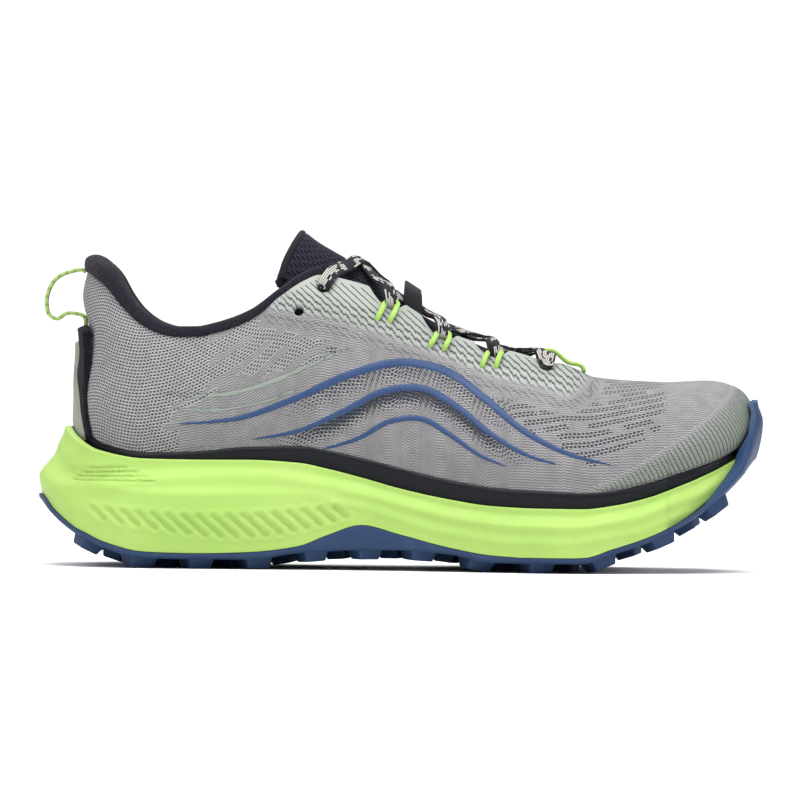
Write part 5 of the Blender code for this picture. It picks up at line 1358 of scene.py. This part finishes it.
def foam_relief(x, z):
    """How far the foam's side stands out beyond its plain form, in metres."""
    out = np.zeros(x.shape)
    for path, width, height in FOAM_RIDGES:
        path = np.array(path, float)
        at = np.interp(x, path[:, 0], path[:, 1])
        inside = smooth(x, path[0, 0], path[0, 0] + 14) * smooth(x, path[-1, 0], path[-1, 0] - 14)
        rise = (z - at) / width
        out += height * inside * (np.exp(-rise * rise) - 0.6 * np.exp(-((rise - 2.1) ** 2)))
    for ends in FOAM_STEPS:
        away, _ = nearest_on(x, z, ends)
        out -= 0.55 * np.exp(-((away / 0.60) ** 2)) - 0.25 * np.exp(-(((away - 0.95) / 0.4) ** 2))
    for number in range(GROOVES):
        share = number / (GROOVES - 1)
        start = GROOVES_FROM + (GROOVES_TO - GROOVES_FROM) * share
        swell = math.sin(math.pi * share)
        low = 20.5 - 7.5 * swell + 1.5 * share
        reach = 6.0 + 6.5 * swell
        away, _ = nearest_on(x, z, ((start + reach * 0.75, low), (start, low + reach * 0.62)))
        out -= 0.85 * np.exp(-((away / 1.0) ** 2)) - 0.40 * np.exp(-(((away - 2.2) / 0.9) ** 2))
    return out / 1000


def add_midsole():
    """Foam with its moulded ridges, heel steps and slanted grooves."""
    rows = even_rows(FOAM_SPACING)
    profile = {name: column(FOAM_PROFILE, FOAM_COLUMNS, name) for name in FOAM_COLUMNS}

    def lines(row, side):
        recess, flare = section("recess", row), section("flare", row)
        outer = foam_outer(row, side)
        lip, top = foam_top(row, side)
        lowered = max(0.0, 2 * recess - 1)
        rim = rim_height(row, side) + GAP
        under_low = plate_top(place(row, side, outer)[0]) + 2 * GAP
        inward = WING * (1 - lowered) + FOAM_EDGE_SLACK * (1 + 1.25 * (1 - lowered))
        shelf_in = (outer - inward, rim + (under_low - rim) * lowered)
        low = rim + (under_low + 3 * FOAM_EDGE_SLACK - rim) * lowered
        radius = min(sole_radius(row, side) - WING * 1.6, outer - 0.0010)
        under = (radius, plate_top(place(row, side, radius)[0]) + GAP * (1 + recess))
        edge = lip + LIP * (1 - 0.4 * recess)
        found = [under, shelf_in]
        for share in np.linspace(0, 1, FOAM_LEVELS):
            plain = float(curve(profile["height"], profile["plain"], share))
            flared = float(curve(profile["height"], profile["flared"], share))
            spread = plain + (flared - plain) * flare
            if share <= 0:
                spread = 1.0 if recess else spread
            if recess:
                spread = min(spread, 1.0)
            found.append((edge + max(outer - edge, 0) * spread, low + (top - low) * share * 0.985))
        roll = edge - lip
        for turn in (30, 60, 90):
            angle = math.radians(turn)
            found.append((edge - roll * 0.22 * (1 - math.cos(angle)), top - 0.0006 * (1 - math.sin(angle))))
        found.append((lip, top))
        foot, bed = rib(row, side)[0]
        found.append((foot + lip_gap(row), bed - GAP))
        return np.array(found)

    points, outward, faces = upright_form(around(rows, lambda row, side: (row, side, lines(row, side))))
    side_face = slice(2, 2 + FOAM_LEVELS)
    push = foam_relief(points[side_face, :, 0] * 1000, points[side_face, :, 2] * 1000)
    share = np.linspace(0, 1, FOAM_LEVELS)[:, None]
    push *= smooth(share, 0.0, 0.08) * smooth(share, 1.0, 0.86)
    points[side_face] += push[..., None] * outward
    foam = add_piece("foam_midsole", points, faces, [foam_finish()], ["midsole"])
    settle(foam)


def settle(piece, angle=50):
    """Welds doubled points, faces the piece outwards and keeps its hard corners."""
    work = bmesh.new()
    work.from_mesh(piece.data)
    bmesh.ops.remove_doubles(work, verts=work.verts, dist=2e-6)
    bmesh.ops.recalc_face_normals(work, faces=work.faces)
    work.to_mesh(piece.data)
    work.free()
    piece.data.set_sharp_from_angle(angle=math.radians(angle))


def outsole_profile(row, side):
    """The rubber's section at one row, from its underside out and up to its rim or bumper and back."""
    bumper, recess = section("bumper", row), section("recess", row)
    tuck = WING * (1.0 + 0.3 * section("flare", row) + recess)
    wide = sole_radius(row, side)

    def rocker(radius):
        return side_line("rocker", place(row, side, radius)[0])

    bottom = (wide - tuck, rocker(wide - tuck))
    corner = (wide - 0.45 * tuck, rocker(wide - 0.45 * tuck) + 0.0006)
    low = rim_height(row, side)
    top = low + (BUMPER_TOP - low) * bumper
    middle = (corner[1] + low) / 2
    middle += (BUMPER_MIDDLE - middle) * bumper
    if bumper:
        wrapped = bumper_inner(row, side, top)
        mixed = wide * (1 - bumper) + (bumper_inner(row, side, BUMPER_TOP) + BUMPER) * bumper
        top_outer, top_inner = (max(wrapped + BUMPER, mixed), top), (wrapped, top)
        foam = foam_top(row, side)[1]
        height = min(BUMPER_MIDDLE, (foam + top) / 2) if top > foam + 0.002 else (low + top) / 2
        inner_middle = (max(bumper_inner(row, side, height) + GAP, foam_outer(row, side) + 2 * GAP), height)
        inner = foam_outer(row, side) + 2 * GAP
    else:
        top_outer, top_inner = (wide, top), (wide - WING, top)
        floor = plate_top(place(row, side, wide - WING)[0])
        inner_middle = (wide - WING * 1.15, (floor + low) / 2)
        inner = wide - WING * 1.3
    inner_bottom = (inner, plate_top(place(row, side, inner)[0]))
    face = [bottom, corner, (wide, middle), top_outer]
    knots = np.array(face)
    reach = reach_along(knots)
    at = np.linspace(0, reach[-1], 13)
    outer = list(zip(curve(reach, knots[:, 0], at), np.interp(at, reach, knots[:, 1])))
    return outer + [top_inner, inner_middle, inner_bottom]


def half_width_at(x, side):
    edge = [place(row, side, sole_radius(row, side)) for row in table_rows()]
    xs, ys = zip(*edge)
    return float(np.interp(x, xs, ys))


def tread_lug(work, x, y, size, turn):
    """One bevelled lug, its foot sunk in the plate."""
    low = side_line("rocker", x)
    tilt = math.atan((side_line("rocker", x + 0.002) - side_line("rocker", x - 0.002)) / 0.004)
    depth = LUG_DEPTH + PLATE * 0.6
    made = bmesh.ops.create_cone(
        work, cap_ends=True, segments=4, radius1=LUG_TAPER * math.sqrt(0.5), radius2=math.sqrt(0.5), depth=1
    )
    verts = made["verts"]
    length, width = size
    cos, sin = math.cos(math.radians(turn)), math.sin(math.radians(turn))
    for vert in verts:
        a, b, h = vert.co
        across_x, across_y = (a - b) * math.sqrt(0.5) * length, (a + b) * math.sqrt(0.5) * width
        along_x, along_y = across_x * cos - across_y * sin, across_x * sin + across_y * cos
        height = (h - 0.5) * depth + PLATE * 0.6
        vert.co = (
            x + along_x * math.cos(tilt) - height * math.sin(tilt),
            y + along_y,
            max(0.0, low + along_x * math.sin(tilt) + height * math.cos(tilt)),
        )
    edges = {edge for vert in verts for edge in vert.link_edges}
    bmesh.ops.bevel(work, geom=list(edges), offset=LUG_BEVEL, segments=3, profile=0.6, affect="EDGES")


def add_outsole():
    """Rubber plate with the bumper over the toe, and the lugs under it."""
    rows = even_rows(RUBBER_SPACING)
    columns = around(rows, lambda row, side: (row, side, np.array(outsole_profile(row, side))))
    points, _, faces = upright_form(columns)
    finish = rubber_finish()
    plate = add_piece("rubber_outsole", points, faces, [finish], ["outsole"])
    settle(plate, 35)
    work = bmesh.new()
    edge_row = (EDGE_LUGS, None, EDGE_LUG, LUG_SWEEP)
    inner_row = (INNER_LUGS, INNER_LUG_ACROSS, INNER_LUG, -LUG_SWEEP)
    for places, share, lug_size, lean in (edge_row, inner_row):
        for along in places:
            x = (along - 0.5) * SHOE_LENGTH
            outer, inner = half_width_at(x, LATERAL), half_width_at(x, MEDIAL)
            middle, wide = (outer + inner) / 2, (inner - outer) / 2
            scale = min(1.0, wide / 0.042)
            length, width = lug_size[0] * scale, lug_size[1] * scale
            reach = share * wide if share else wide - EDGE_LUG_INSET - width / 2
            for side in (LATERAL, MEDIAL):
                tread_lug(work, x, middle + side * reach, (length, width), -side * lean)
    mesh = bpy.data.meshes.new("tread_lugs")
    bmesh.ops.recalc_face_normals(work, faces=work.faces)
    work.to_mesh(mesh)
    work.free()
    mesh.shade_smooth()
    mesh.set_sharp_from_angle(angle=math.radians(50))
    mesh.materials.append(finish)
    lugs = linked("tread_lugs", mesh)
    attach(lugs, "root")


def add_insole():
    """Cloth-covered bed, its rim turned up a little at the wall."""
    rows = even_rows(BED_SPACING)
    inset = WALL / math.cos(math.atan(STRAIGHT_LEAN)) + 2 * GAP
    points = np.zeros((len(rows), BED_ACROSS, 3))
    flat = np.zeros(points.shape)
    for i, row in enumerate(rows):
        ends = []
        for side in (LATERAL, MEDIAL):
            foot, height = rib(row, side)[0]
            ends.append(np.array(point(row, side, foot - inset, height + INSOLE)))
        for j, share in enumerate(np.linspace(0, 1, BED_ACROSS)):
            here = ends[0] * (1 - share) + ends[1] * share
            points[i, j] = here - np.array([0, 0, BED_DISH * math.sin(math.pi * share) ** 0.6])
            flat[i, j] = (here[0] * 1000, here[1] * 1000, 0)
    colours = ((0.020, 0.022, 0.034), (0.034, 0.036, 0.052), (0.008, 0.008, 0.014))
    cloth = cloth_finish("insole_cloth", colours, 1.1, 0.0003)
    faces = grid_faces(len(rows), BED_ACROSS, False)
    bed = add_piece("insole_bed", points, faces, [cloth], ["insole"], {"flat": flat})
    thick = bed.modifiers.new("Thickness", "SOLIDIFY")
    thick.thickness = BED_CLOTH
    thick.offset = -1
    turned_out(bed, np.tile((0, 0, 1), (len(bed.data.vertices), 1)))


def closed_spline(shape, count):
    """Round closed line of that many points through the corners of the shape."""
    shape = np.array(shape, float)
    again = np.concatenate([shape[-2:], shape, shape[:3]])
    reach = reach_along(again)
    at = np.linspace(reach[2], reach[-3], count, endpoint=False)
    return np.stack([spline(reach, again[:, k], at) for k in range(shape.shape[1])], 1), at - at[0]


def add_collar():
    """Padded roll round the ankle, plumped between its seam and its lining."""
    rows = [row for row in even_rows(COLLAR_SPACING) if row < COLLAR_END] + [COLLAR_END]
    along = column(COLLAR_ROLL, COLLAR_COLUMNS, "along")

    def ring(row, side):
        ribs = np.array(rib(row, side))
        (radius, height), (below, below_height) = ribs[-1], ribs[-3]
        up = np.array([radius - below, height - below_height])
        up /= np.linalg.norm(up)
        out = np.array([up[1], -up[0]])
        x = place(row, side, radius)[0] / SHOE_LENGTH + 0.5
        rise = float(curve(along, column(COLLAR_ROLL, COLLAR_COLUMNS, "height"), x))
        thick = float(curve(along, column(COLLAR_ROLL, COLLAR_COLUMNS, "thickness"), x))
        inside = WALL + GAP
        shape = [
            (0.0006, -0.0008), (0.0014, rise * 0.35), (0.0007, rise * 0.78), (-thick * 0.36, rise * 1.02),
            (-thick * 0.80, rise * 0.84), (-thick * 1.02, rise * 0.25), (-thick * 0.95, -COLLAR_TUCK * 0.8),
            (-inside - 0.0002, -COLLAR_TUCK), (-inside, GAP), (-inside * 0.45, -0.0001),
        ]
        line, reach = closed_spline(shape, COLLAR_ROUND)
        spots = [point(row, side, *(ribs[-1] + out * o + up * u)) for o, u in line]
        return spots, reach

    rings = [ring(row, LATERAL) for row in rows[::-1]] + [ring(row, MEDIAL) for row in rows[1:]]
    points = np.array([spots for spots, _ in rings])
    reach = reach_along(points[:, 4])
    flat = np.zeros(points.shape)
    flat[..., 0] = reach[:, None] * 1000
    flat[..., 1] = np.array([r for _, r in rings]) * 1000
    faces = ring_faces(len(rings), COLLAR_ROUND)
    collar = add_piece(
        "padded_collar", points, faces, [collar_finish()], ["collar"], {"flat": flat},
    )
    settle(collar, 70)


@functools.lru_cache(maxsize=None)
def tongue_frame(at):
    rows = range(len(TONGUE))
    return {name: float(curve(rows, column(TONGUE, TONGUE_COLUMNS, name), at)) for name in TONGUE_COLUMNS}


@functools.lru_cache(maxsize=None)
def tongue_centre(at):
    along = column(TONGUE, TONGUE_COLUMNS, "along")
    height = column(TONGUE, TONGUE_COLUMNS, "height")
    x = (float(spline(range(len(TONGUE)), along, [at])[0]) - 0.5) * SHOE_LENGTH
    fullness = TONGUE_FULLNESS * float(smooth(x * 1000, -4, 8) * smooth(x * 1000, 76, 60))
    return np.array([x, float(spline(range(len(TONGUE)), height, [at])[0]) * INSTEP_HEIGHT + fullness])


def throat_middle(x):
    return section("shift", row_at(x)) * LAST_WIDTH / 2 - MIDDLE_Y


def tongue_point(at, across_share, depth):
    values = tongue_frame(at)
    along = tongue_centre(min(at + 0.05, TONGUE_END)) - tongue_centre(max(at - 0.05, 0))
    along = along / np.linalg.norm(along)
    normal = np.array([-along[1], along[0]])
    normal = normal * (1 if normal[1] > 0 else -1)
    half = values["half_width"] * LAST_WIDTH / 2
    drop = values["sag"] * INSTEP_HEIGHT * across_share**2 + depth
    narrow = 1 - depth / half * 0.8
    x, z = tongue_centre(at) - normal * drop
    return (x, throat_middle(x) + across_share * half * narrow, z)


def rounded_at(at, share):
    """Place along the tongue, drawn back towards its sides so that its free end is rounded."""
    return at - TONGUE_CORNER * abs(share) ** 3 * float(smooth(at, TONGUE_END - 4.5, TONGUE_END))


def tongue_ring(at, thin):
    """Rounded section of the tongue, as its points."""
    thick = tongue_frame(at)["thickness"]
    ring = []
    for k in range(TONGUE_ROUND):
        angle = 2 * math.pi * k / TONGUE_ROUND
        wide, deep = math.cos(angle), math.sin(angle)
        share = math.copysign(abs(wide) ** 0.75, wide) if abs(wide) < 0.999 else wide
        depth = thick / 2 * (1 - math.copysign(abs(deep) ** 0.55, deep) * thin)
        ring.append(tongue_point(rounded_at(at, share), share, depth))
    return ring


def add_tongue():
    """Padded mesh tongue with a smooth binding round its free end."""
    rings = []
    for at in np.linspace(0, TONGUE_END, TONGUE_RINGS):
        left = (TONGUE_END - at) / 0.22
        thin = math.sqrt(max(0.0, 1 - (1 - min(left, 1.0)) ** 2)) * 0.9 + 0.1
        rings.append(tongue_ring(at, thin))
    points = np.array(rings)
    flat = np.zeros(points.shape)
    spine = points[:, TONGUE_ROUND // 4]
    flat[..., 0] = reach_along(spine)[:, None] * 1000
    steps = np.linalg.norm(points - np.roll(points, 1, 1), axis=2)
    flat[..., 1] = np.cumsum(steps, axis=1) * 1000
    faces = ring_faces(len(rings), TONGUE_ROUND)
    tongue = add_piece(
        "padded_tongue", points, faces, [tongue_finish()], ["tongue"], {"flat": flat},
    )
    settle(tongue, 80)
    stops = [(at, -0.985) for at in np.linspace(TONGUE_END - 4.2, TONGUE_END - 0.1, 30)]
    stops += [(TONGUE_END - 0.02 - 0.08 * share**4, share) for share in np.linspace(-0.94, 0.94, 40)]
    stops += [(at, -share) for at, share in reversed(stops[:30])]
    edge = [tongue_point(rounded_at(at, s), s, tongue_frame(at)["thickness"] / 2) for at, s in stops]
    colours = ((0.007, 0.007, 0.012), (0.012, 0.012, 0.019), (0.003, 0.003, 0.005))
    tube("tongue_binding", edge, (0.0034, 0.0056), cloth_finish("black_binding", colours, 0.8, 0.0002),
         normals=[(0.3, 0, 1)] * len(edge))


def resampled(path, spacing, extras=()):
    """The path and what goes with it, read evenly along a smooth curve."""
    path = np.array([tuple(p) for p in path], float)
    steps = np.linalg.norm(np.diff(path, axis=0), axis=1)
    keep = np.concatenate([[True], steps > 1e-6])
    path = path[keep]
    reach = reach_along(path)
    at = np.linspace(0, reach[-1], max(4, int(reach[-1] / spacing)))
    fine = np.stack([spline(reach, path[:, k], at) for k in range(3)], 1)
    found = []
    for extra in extras:
        extra = np.array([tuple(v) if hasattr(v, "__len__") else (v,) for v in extra], float)[keep]
        found.append(np.stack([np.interp(at, reach, extra[:, k]) for k in range(extra.shape[1])], 1))
    return fine, at, found


def tube(
    name, path, size, finish, replaces=(), *,
    normals, widths=None, spacing=0.0007, power=0.75, count=16,
):
    """Rounded flat cord along the path: size is its width and thickness, squarer as power falls."""
    fine, at, (ups, scales) = resampled(path, spacing, (normals, widths or [1.0] * len(path)))
    along = np.gradient(fine, axis=0)
    along /= np.linalg.norm(along, axis=1, keepdims=True)
    wide = np.cross(along, ups)
    wide /= np.maximum(np.linalg.norm(wide, axis=1, keepdims=True), 1e-9)
    thick = np.cross(wide, along)
    angles = np.linspace(0, 2 * np.pi, count, endpoint=False)
    cos, sin = np.cos(angles), np.sin(angles)
    a = np.sign(cos) * np.abs(cos) ** power * size[0] / 2
    b = np.sign(sin) * np.abs(sin) ** power * size[1] / 2
    ends = np.minimum(np.arange(len(fine)), np.arange(len(fine))[::-1]) * spacing / (size[1] * 0.5)
    close = np.sqrt(np.clip(1 - (1 - np.clip(ends, 0.0, 1)) ** 2, 0.04, 1))[:, None, None]
    points = fine[:, None] + (
        wide[:, None] * (a[None, :, None] * scales[:, None]) + thick[:, None] * b[None, :, None]
    ) * close
    flat = np.zeros(points.shape)
    flat[..., 0] = at[:, None] * 1000
    flat[..., 1] = a * 1000
    flat[..., 2] = b * 1000
    faces = ring_faces(len(fine), count)
    settle(add_piece(name, points, faces, [finish], replaces, {"flat": flat}), 80)


def add_pull_loop():
    def against(share):
        height = share * HEEL_HEIGHT
        back = place(0, LATERAL, rib_radius(0, LATERAL, height))[0]
        return back - 1.6 * GAP - PULL_THICKNESS / 2, height

    top, low = PULL_ENDS
    path = [against(top), against(top + 0.006)]
    path += [((along - 0.5) * SHOE_LENGTH, share * HEEL_HEIGHT) for along, share in PULL_LOOP]
    path = np.array(path + [against(low + 0.02), against(low - 0.02)])
    reach = reach_along(path)
    at = np.linspace(0, reach[-1], 60)
    line = np.stack([spline(reach, path[:, 0], at), np.zeros(60), spline(reach, path[:, 1], at)], 1)
    along = np.gradient(line, axis=0)
    normals = np.stack([-along[:, 2], np.zeros(60), along[:, 0]], 1)
    tube("heel_pull_webbing", line, (PULL_WIDTH, PULL_THICKNESS), pull_finish(),
         ["pull_loop"], normals=normals, power=0.35, count=24)


def tongue_height(x, y):
    places = np.linspace(0, TONGUE_END, 67)
    centres = [tongue_centre(at)[0] for at in places]
    aim = x
    for _ in range(4):
        at = float(np.interp(-aim, [-c for c in centres], places))
        half = tongue_frame(at)["half_width"] * LAST_WIDTH / 2
        found = tongue_point(at, max(-1.0, min(1.0, (y - throat_middle(x)) / half)), 0)
        aim += x - found[0]
    return found[2]


def throat_axes(x, side):
    edge, normal = throat_spot(x, side, 0.0)
    below, _ = throat_spot(x, side, 0.003)
    return edge, normal, (edge - below).normalized()


def loop_bend(share, side):
    """Middle of a loop's bend over the throat's edge, with the directions out of the film and inward."""
    edge, normal, inward = throat_axes(loop_x(share), side)
    return edge + inward * LOOP_INWARD + normal * LOOP_RISE + Vector((LOOP_AHEAD, 0, 0)), normal, inward


def film_spot(x, z, side):
    """Point on the film at that place in the side view, and its normal."""
    insets = np.linspace(0.0, 0.024, 49)
    heights = [throat_spot(x, side, float(inset))[0].z for inset in insets]
    return throat_spot(x, side, float(np.interp(-z, [-h for h in heights], insets)))


def add_lace_loops(finish):
    """Cord loops along the throat, each with its ends let into the film, and the one at its foot."""
    lift = FILM + 4.5 * GAP + LOOP_CORD / 2
    size = (CORD_SHOWN * 1.1, CORD_SHOWN * 0.9)
    for number, share in enumerate(LOOP_PLACES, 1):
        for side, word in ((LATERAL, "outer"), (MEDIAL, "inner")):
            bend, normal, inward = loop_bend(share, side)
            legs = []
            for end, (foot_x, foot_z) in zip((-1, 1), LOOP_FEET[number - 1]):
                foot, out = film_spot(foot_x / 1000, foot_z / 1000, side)
                corner = bend + Vector((end * LOOP_OPEN / 2, 0, 0)) - inward * 0.0010
                knee = foot.lerp(corner, 0.14) + out * lift * 0.75
                middle, middle_out = film_spot(*(foot.lerp(corner, 0.55).xz), side)
                legs.append([foot + out * (FILM * 0.3), knee, middle + middle_out * lift,
                             corner, bend + Vector((end * LOOP_OPEN * 0.25, 0, 0))])
            path = legs[0] + legs[1][::-1]
            tube(f"cord_loop_{word}_{number}", path, size, finish,
                 [f"lace_loop_{word}_{number}"],
                 normals=[normal] * len(path), power=1.0, spacing=0.0005, count=14)
    half = FRONT_LOOP_SPAN / 2
    on_film = [((along - 0.5) * SHOE_LENGTH, rise) for along, rise in FRONT_LOOP_ON_FILM]
    over_bar = [((along - 0.5) * SHOE_LENGTH, share) for along, share in FRONT_LOOP_OVER_BAR]
    film = throat_spot(on_film[-1][0], LATERAL, 0.0)[0].z + FILM + GAP + LOOP_CORD / 2
    bar = lace_bar_height() + LACE_SHOWN / 2 + GAP + LOOP_CORD / 2
    foot = Vector((on_film[0][0] + 0.0012, half, top_line(on_film[0][0]) + FILM * 0.5))
    side_path = [foot] + [Vector((x, half, film + rise)) for x, rise in on_film]
    side_path += [Vector((x, half * share, bar)) for x, share in over_bar]
    middle = Vector((0, throat_middle(over_bar[0][0]), 0))
    path = [p + middle for p in side_path] + [Vector((p.x, -p.y, p.z)) + middle for p in side_path[-2::-1]]
    tube("cord_loop_front", path, size, finish, ["lace_loop_front"],
         normals=[(0.2, 0, 1)] * len(path), power=1.0, spacing=0.0005, count=14)


def lace_bar_height():
    x = loop_x(FRONT_EYELET_PLACE)
    over_tongue = tongue_height(x, throat_middle(x)) + LACE_SHOWN / 2
    return max(over_tongue, top_line(x) + FILM + 4 * GAP) + LACE_SHOWN / 2


def lace_path(start_side):
    """From a top eyelet across through the loops to a front eyelet and half the first bar."""
    half = LACE_SHOWN / 2
    turn = half + CORD_SHOWN / 2 + LACE_EASE
    film = FILM + 2 * GAP + half
    nodes = []
    side = start_side
    x = loop_x(TOP_EYELET_PLACE)
    spot, out = throat_spot(x, side, EYELET_INSET)
    nodes.append((spot - out * 0.0022, out))
    nodes.append((spot + out * film, out))
    edge, out, inward = throat_axes(x + 0.003, side)
    nodes.append((edge + out * film * 0.8, out))
    facing = 1
    for share in LOOP_PLACES:
        side = -side
        bend, out, inward = loop_bend(share, side)
        back, ahead = Vector((-0.0010, 0, 0)), Vector((0.0010, 0, 0))
        nodes.append((bend + out * turn * 0.8 + inward * 0.0050 + back * 1.5, out * facing))
        over = bend + out * turn - inward * turn * 0.3 + back
        nodes.append((over, (out - inward * 0.4) * facing, LACE_PINCH))
        nodes.append((bend - inward * turn * 1.25, -inward * facing, LACE_PINCH))
        under = bend - out * turn * 0.95 - inward * turn * 0.3 + ahead
        nodes.append((under, (-out - inward * 0.4) * facing, LACE_PINCH))
        nodes.append((bend - out * turn * 1.3 + inward * 0.0055 + ahead * 1.5, -out * facing))
        facing = -facing
    side = -side
    x = loop_x(FRONT_EYELET_PLACE)
    edge, out, inward = throat_axes(x - 0.003, side)
    nodes.append((edge + inward * 0.004 + out * (film + 0.0006), out * facing))
    spot, out = throat_spot(x, side, EYELET_INSET * 0.8)
    nodes.append((spot + out * (film + 0.0003), out * facing))
    edge, out, inward = throat_axes(x + 0.001, side)
    nodes.append((edge + inward * 0.003 + out * (film + 0.0008), out * facing))
    bar = Vector((x + 0.001, throat_middle(x) - side * 0.0006, lace_bar_height()))
    nodes.append((bar, Vector((0.33, 0, 1)) * facing))
    return nodes


def add_laces():
    finish = lace_finish()
    strands = (("lace_outer_start", LATERAL, ["laces"]), ("lace_inner_start", MEDIAL, []))
    for name, start_side, replaced in strands:
        nodes = lace_path(start_side)
        over = OVER_AND_UNDER * (1 if start_side == LATERAL else -1)
        path, normals, widths = [], [], []
        for i, (here, normal, *pinch) in enumerate(nodes):
            path.append(here)
            normals.append(normal.normalized())
            widths.append(pinch[0] if pinch else 1.0)
            if i + 1 == len(nodes):
                continue
            there, next_normal = nodes[i + 1][:2]
            middle = throat_middle(here.x)
            if (here.y - middle) * (there.y - middle) < 0:
                clear = LACE_SHOWN / 2 + OVER_AND_UNDER + GAP
                crest = here.lerp(there, 0.5)
                crest.z = max(crest.z - LACE_SAG, tongue_height(crest.x, crest.y) + clear)
                for share in (0.25, 0.5, 0.75):
                    spot = here.lerp(there, share)
                    tight = here.lerp(crest, 2 * share) if share < 0.5 else crest.lerp(there, 2 * share - 1)
                    floor = tongue_height(spot.x, spot.y) + clear
                    spot.z = max(tight.z, floor) + over * math.sin(math.pi * share)
                    path.append(spot)
                    normals.append(normal.lerp(next_normal, share).normalized())
                    widths.append(1.0)
        tube(name, path, (LACE_WIDTH, LACE_SHOWN), finish, replaced,
             normals=normals, widths=widths, power=0.6, count=24)


def add_keeper():
    x = loop_x(KEEPER_PLACE)
    middle = throat_middle(x)
    slope = (tongue_height(x + 0.004, middle) - tongue_height(x - 0.004, middle)) / 0.008
    top = tongue_height(x, middle) + KEEPER_RISE - TONGUE_FULLNESS
    half = KEEPER_SPAN / 2
    corners = [(dx, end * half) for dx in (-0.004, 0.004) for end in (-1, 1)]
    low = min(tongue_height(x + dx, middle + dy) - slope * dx for dx, dy in corners) + KEEPER_LIFT
    foot = Vector((x, middle, low + KEEPER_WEBBING / 2))
    path = [foot + Vector((0, y * half, (top - low) * share)) for y, share in KEEPER_ARCH]
    normals = []
    for i in range(len(path)):
        along = path[min(i + 1, len(path) - 1)] - path[max(i - 1, 0)]
        normals.append(along.cross(Vector((1, 0, slope))).normalized() * -1)
    colours = ((0.008, 0.008, 0.011), (0.018, 0.018, 0.023), (0.003, 0.003, 0.005))
    webbing = cloth_finish("black_webbing", colours, 0.75, 0.00025)
    tube("keeper_webbing_strap", path, (KEEPER_WIDTH, KEEPER_WEBBING), webbing,
         ["lace_keeper"], normals=normals, power=0.4, count=20)


# The paper sweep: how far it reaches in front and to the sides, where it starts to curve and how far up
SWEEP_FRONT = -6.0
SWEEP_SIDE = 8.0
SWEEP_BACK = 1.6
SWEEP_RADIUS = 1.2
SWEEP_TURNS = np.linspace(0.1, 0.885, 12)


def add_floor():
    """Pale paper sweep: flat under the shoe, curving up knee high far behind it."""
    profile = [(SWEEP_FRONT, 0.0), (SWEEP_BACK, 0.0)]
    for turn in SWEEP_TURNS:
        profile.append((SWEEP_BACK + SWEEP_RADIUS * math.sin(turn), SWEEP_RADIUS * (1 - math.cos(turn))))
    points = [(x, y, z) for y, z in profile for x in (-SWEEP_SIDE, SWEEP_SIDE)]
    faces = [(2 * i, 2 * i + 1, 2 * i + 3, 2 * i + 2) for i in range(len(profile) - 1)]
    mesh = bpy.data.meshes.new("studio_sweep")
    mesh.from_pydata(points, [], faces)
    mesh.shade_smooth()
    mesh.materials.append(floor_finish())
    floor = linked("studio_sweep", mesh)


# The photograph's camera: almost level from the outer side, far away, and rolled a little toe down
VIEW_WIDTH = 0.3315
VIEW_DISTANCE = 3.2
VIEW_AIM = (-0.0008, 0.0, 0.0697)
VIEW_ELEVATION = 0.5
VIEW_ROLL = 0.69


def add_camera():
    data = bpy.data.cameras.new("photo_camera")
    data.sensor_width = 36
    data.lens = 36 * VIEW_DISTANCE / VIEW_WIDTH
    data.clip_end = 50
    camera = linked("photo_camera", data)
    rise = math.radians(VIEW_ELEVATION)
    aim = Vector(VIEW_AIM)
    camera.location = aim + Vector((0, -math.cos(rise), math.sin(rise))) * VIEW_DISTANCE
    tilt = (aim - camera.location).to_track_quat("-Z", "Y").to_matrix().to_4x4()
    roll = Matrix.Rotation(math.radians(VIEW_ROLL), 4, "Z")
    camera.matrix_world = Matrix.Translation(camera.location) @ tilt @ roll
    bpy.context.scene.camera = camera


# How bright the pale surround is
SURROUND = 0.36


def add_lights():
    """Large soft panels over, in front of and behind the shoe, and a pale surround."""
    panels = (
        ("top_panel", (0.1, -0.55, 2.2), 1.6, 74),
        ("front_panel", (-1.2, -2.0, 1.7), 1.2, 26),
        ("right_panel", (2.0, -0.9, 1.2), 1.0, 16),
        ("back_panel", (-0.6, 1.4, 1.6), 1.4, 22),
    )
    for name, location, size, energy in panels:
        data = bpy.data.lights.new(name, "AREA")
        data.shape = "SQUARE"
        data.size = size
        data.energy = energy
        panel = linked(name, data)
        panel.location = location
        aim = Vector((0, 0, 0.06)) - Vector(location)
        panel.rotation_euler = aim.to_track_quat("-Z", "Y").to_euler()
    world = bpy.data.worlds.new("studio_surround")
    world.use_nodes = True
    surround = world.node_tree.nodes["Background"]
    surround.inputs["Color"].default_value = (1, 1, 1, 1)
    surround.inputs["Strength"].default_value = SURROUND
    bpy.context.scene.world = world
    bpy.context.scene.view_settings.view_transform = "Standard"


add_camera()
add_lights()
add_floor()
add_outsole()
add_midsole()
add_insole()
add_upper()
add_films()
add_rand()
add_heel_layers()
add_collar()
add_tongue()
lime = ((0.34, 0.56, 0.11), (0.42, 0.64, 0.17), (0.16, 0.28, 0.05))
add_lace_loops(cloth_finish("lime_cord", lime, 0.9, 0.0002))
add_laces()
add_keeper()
add_pull_loop()
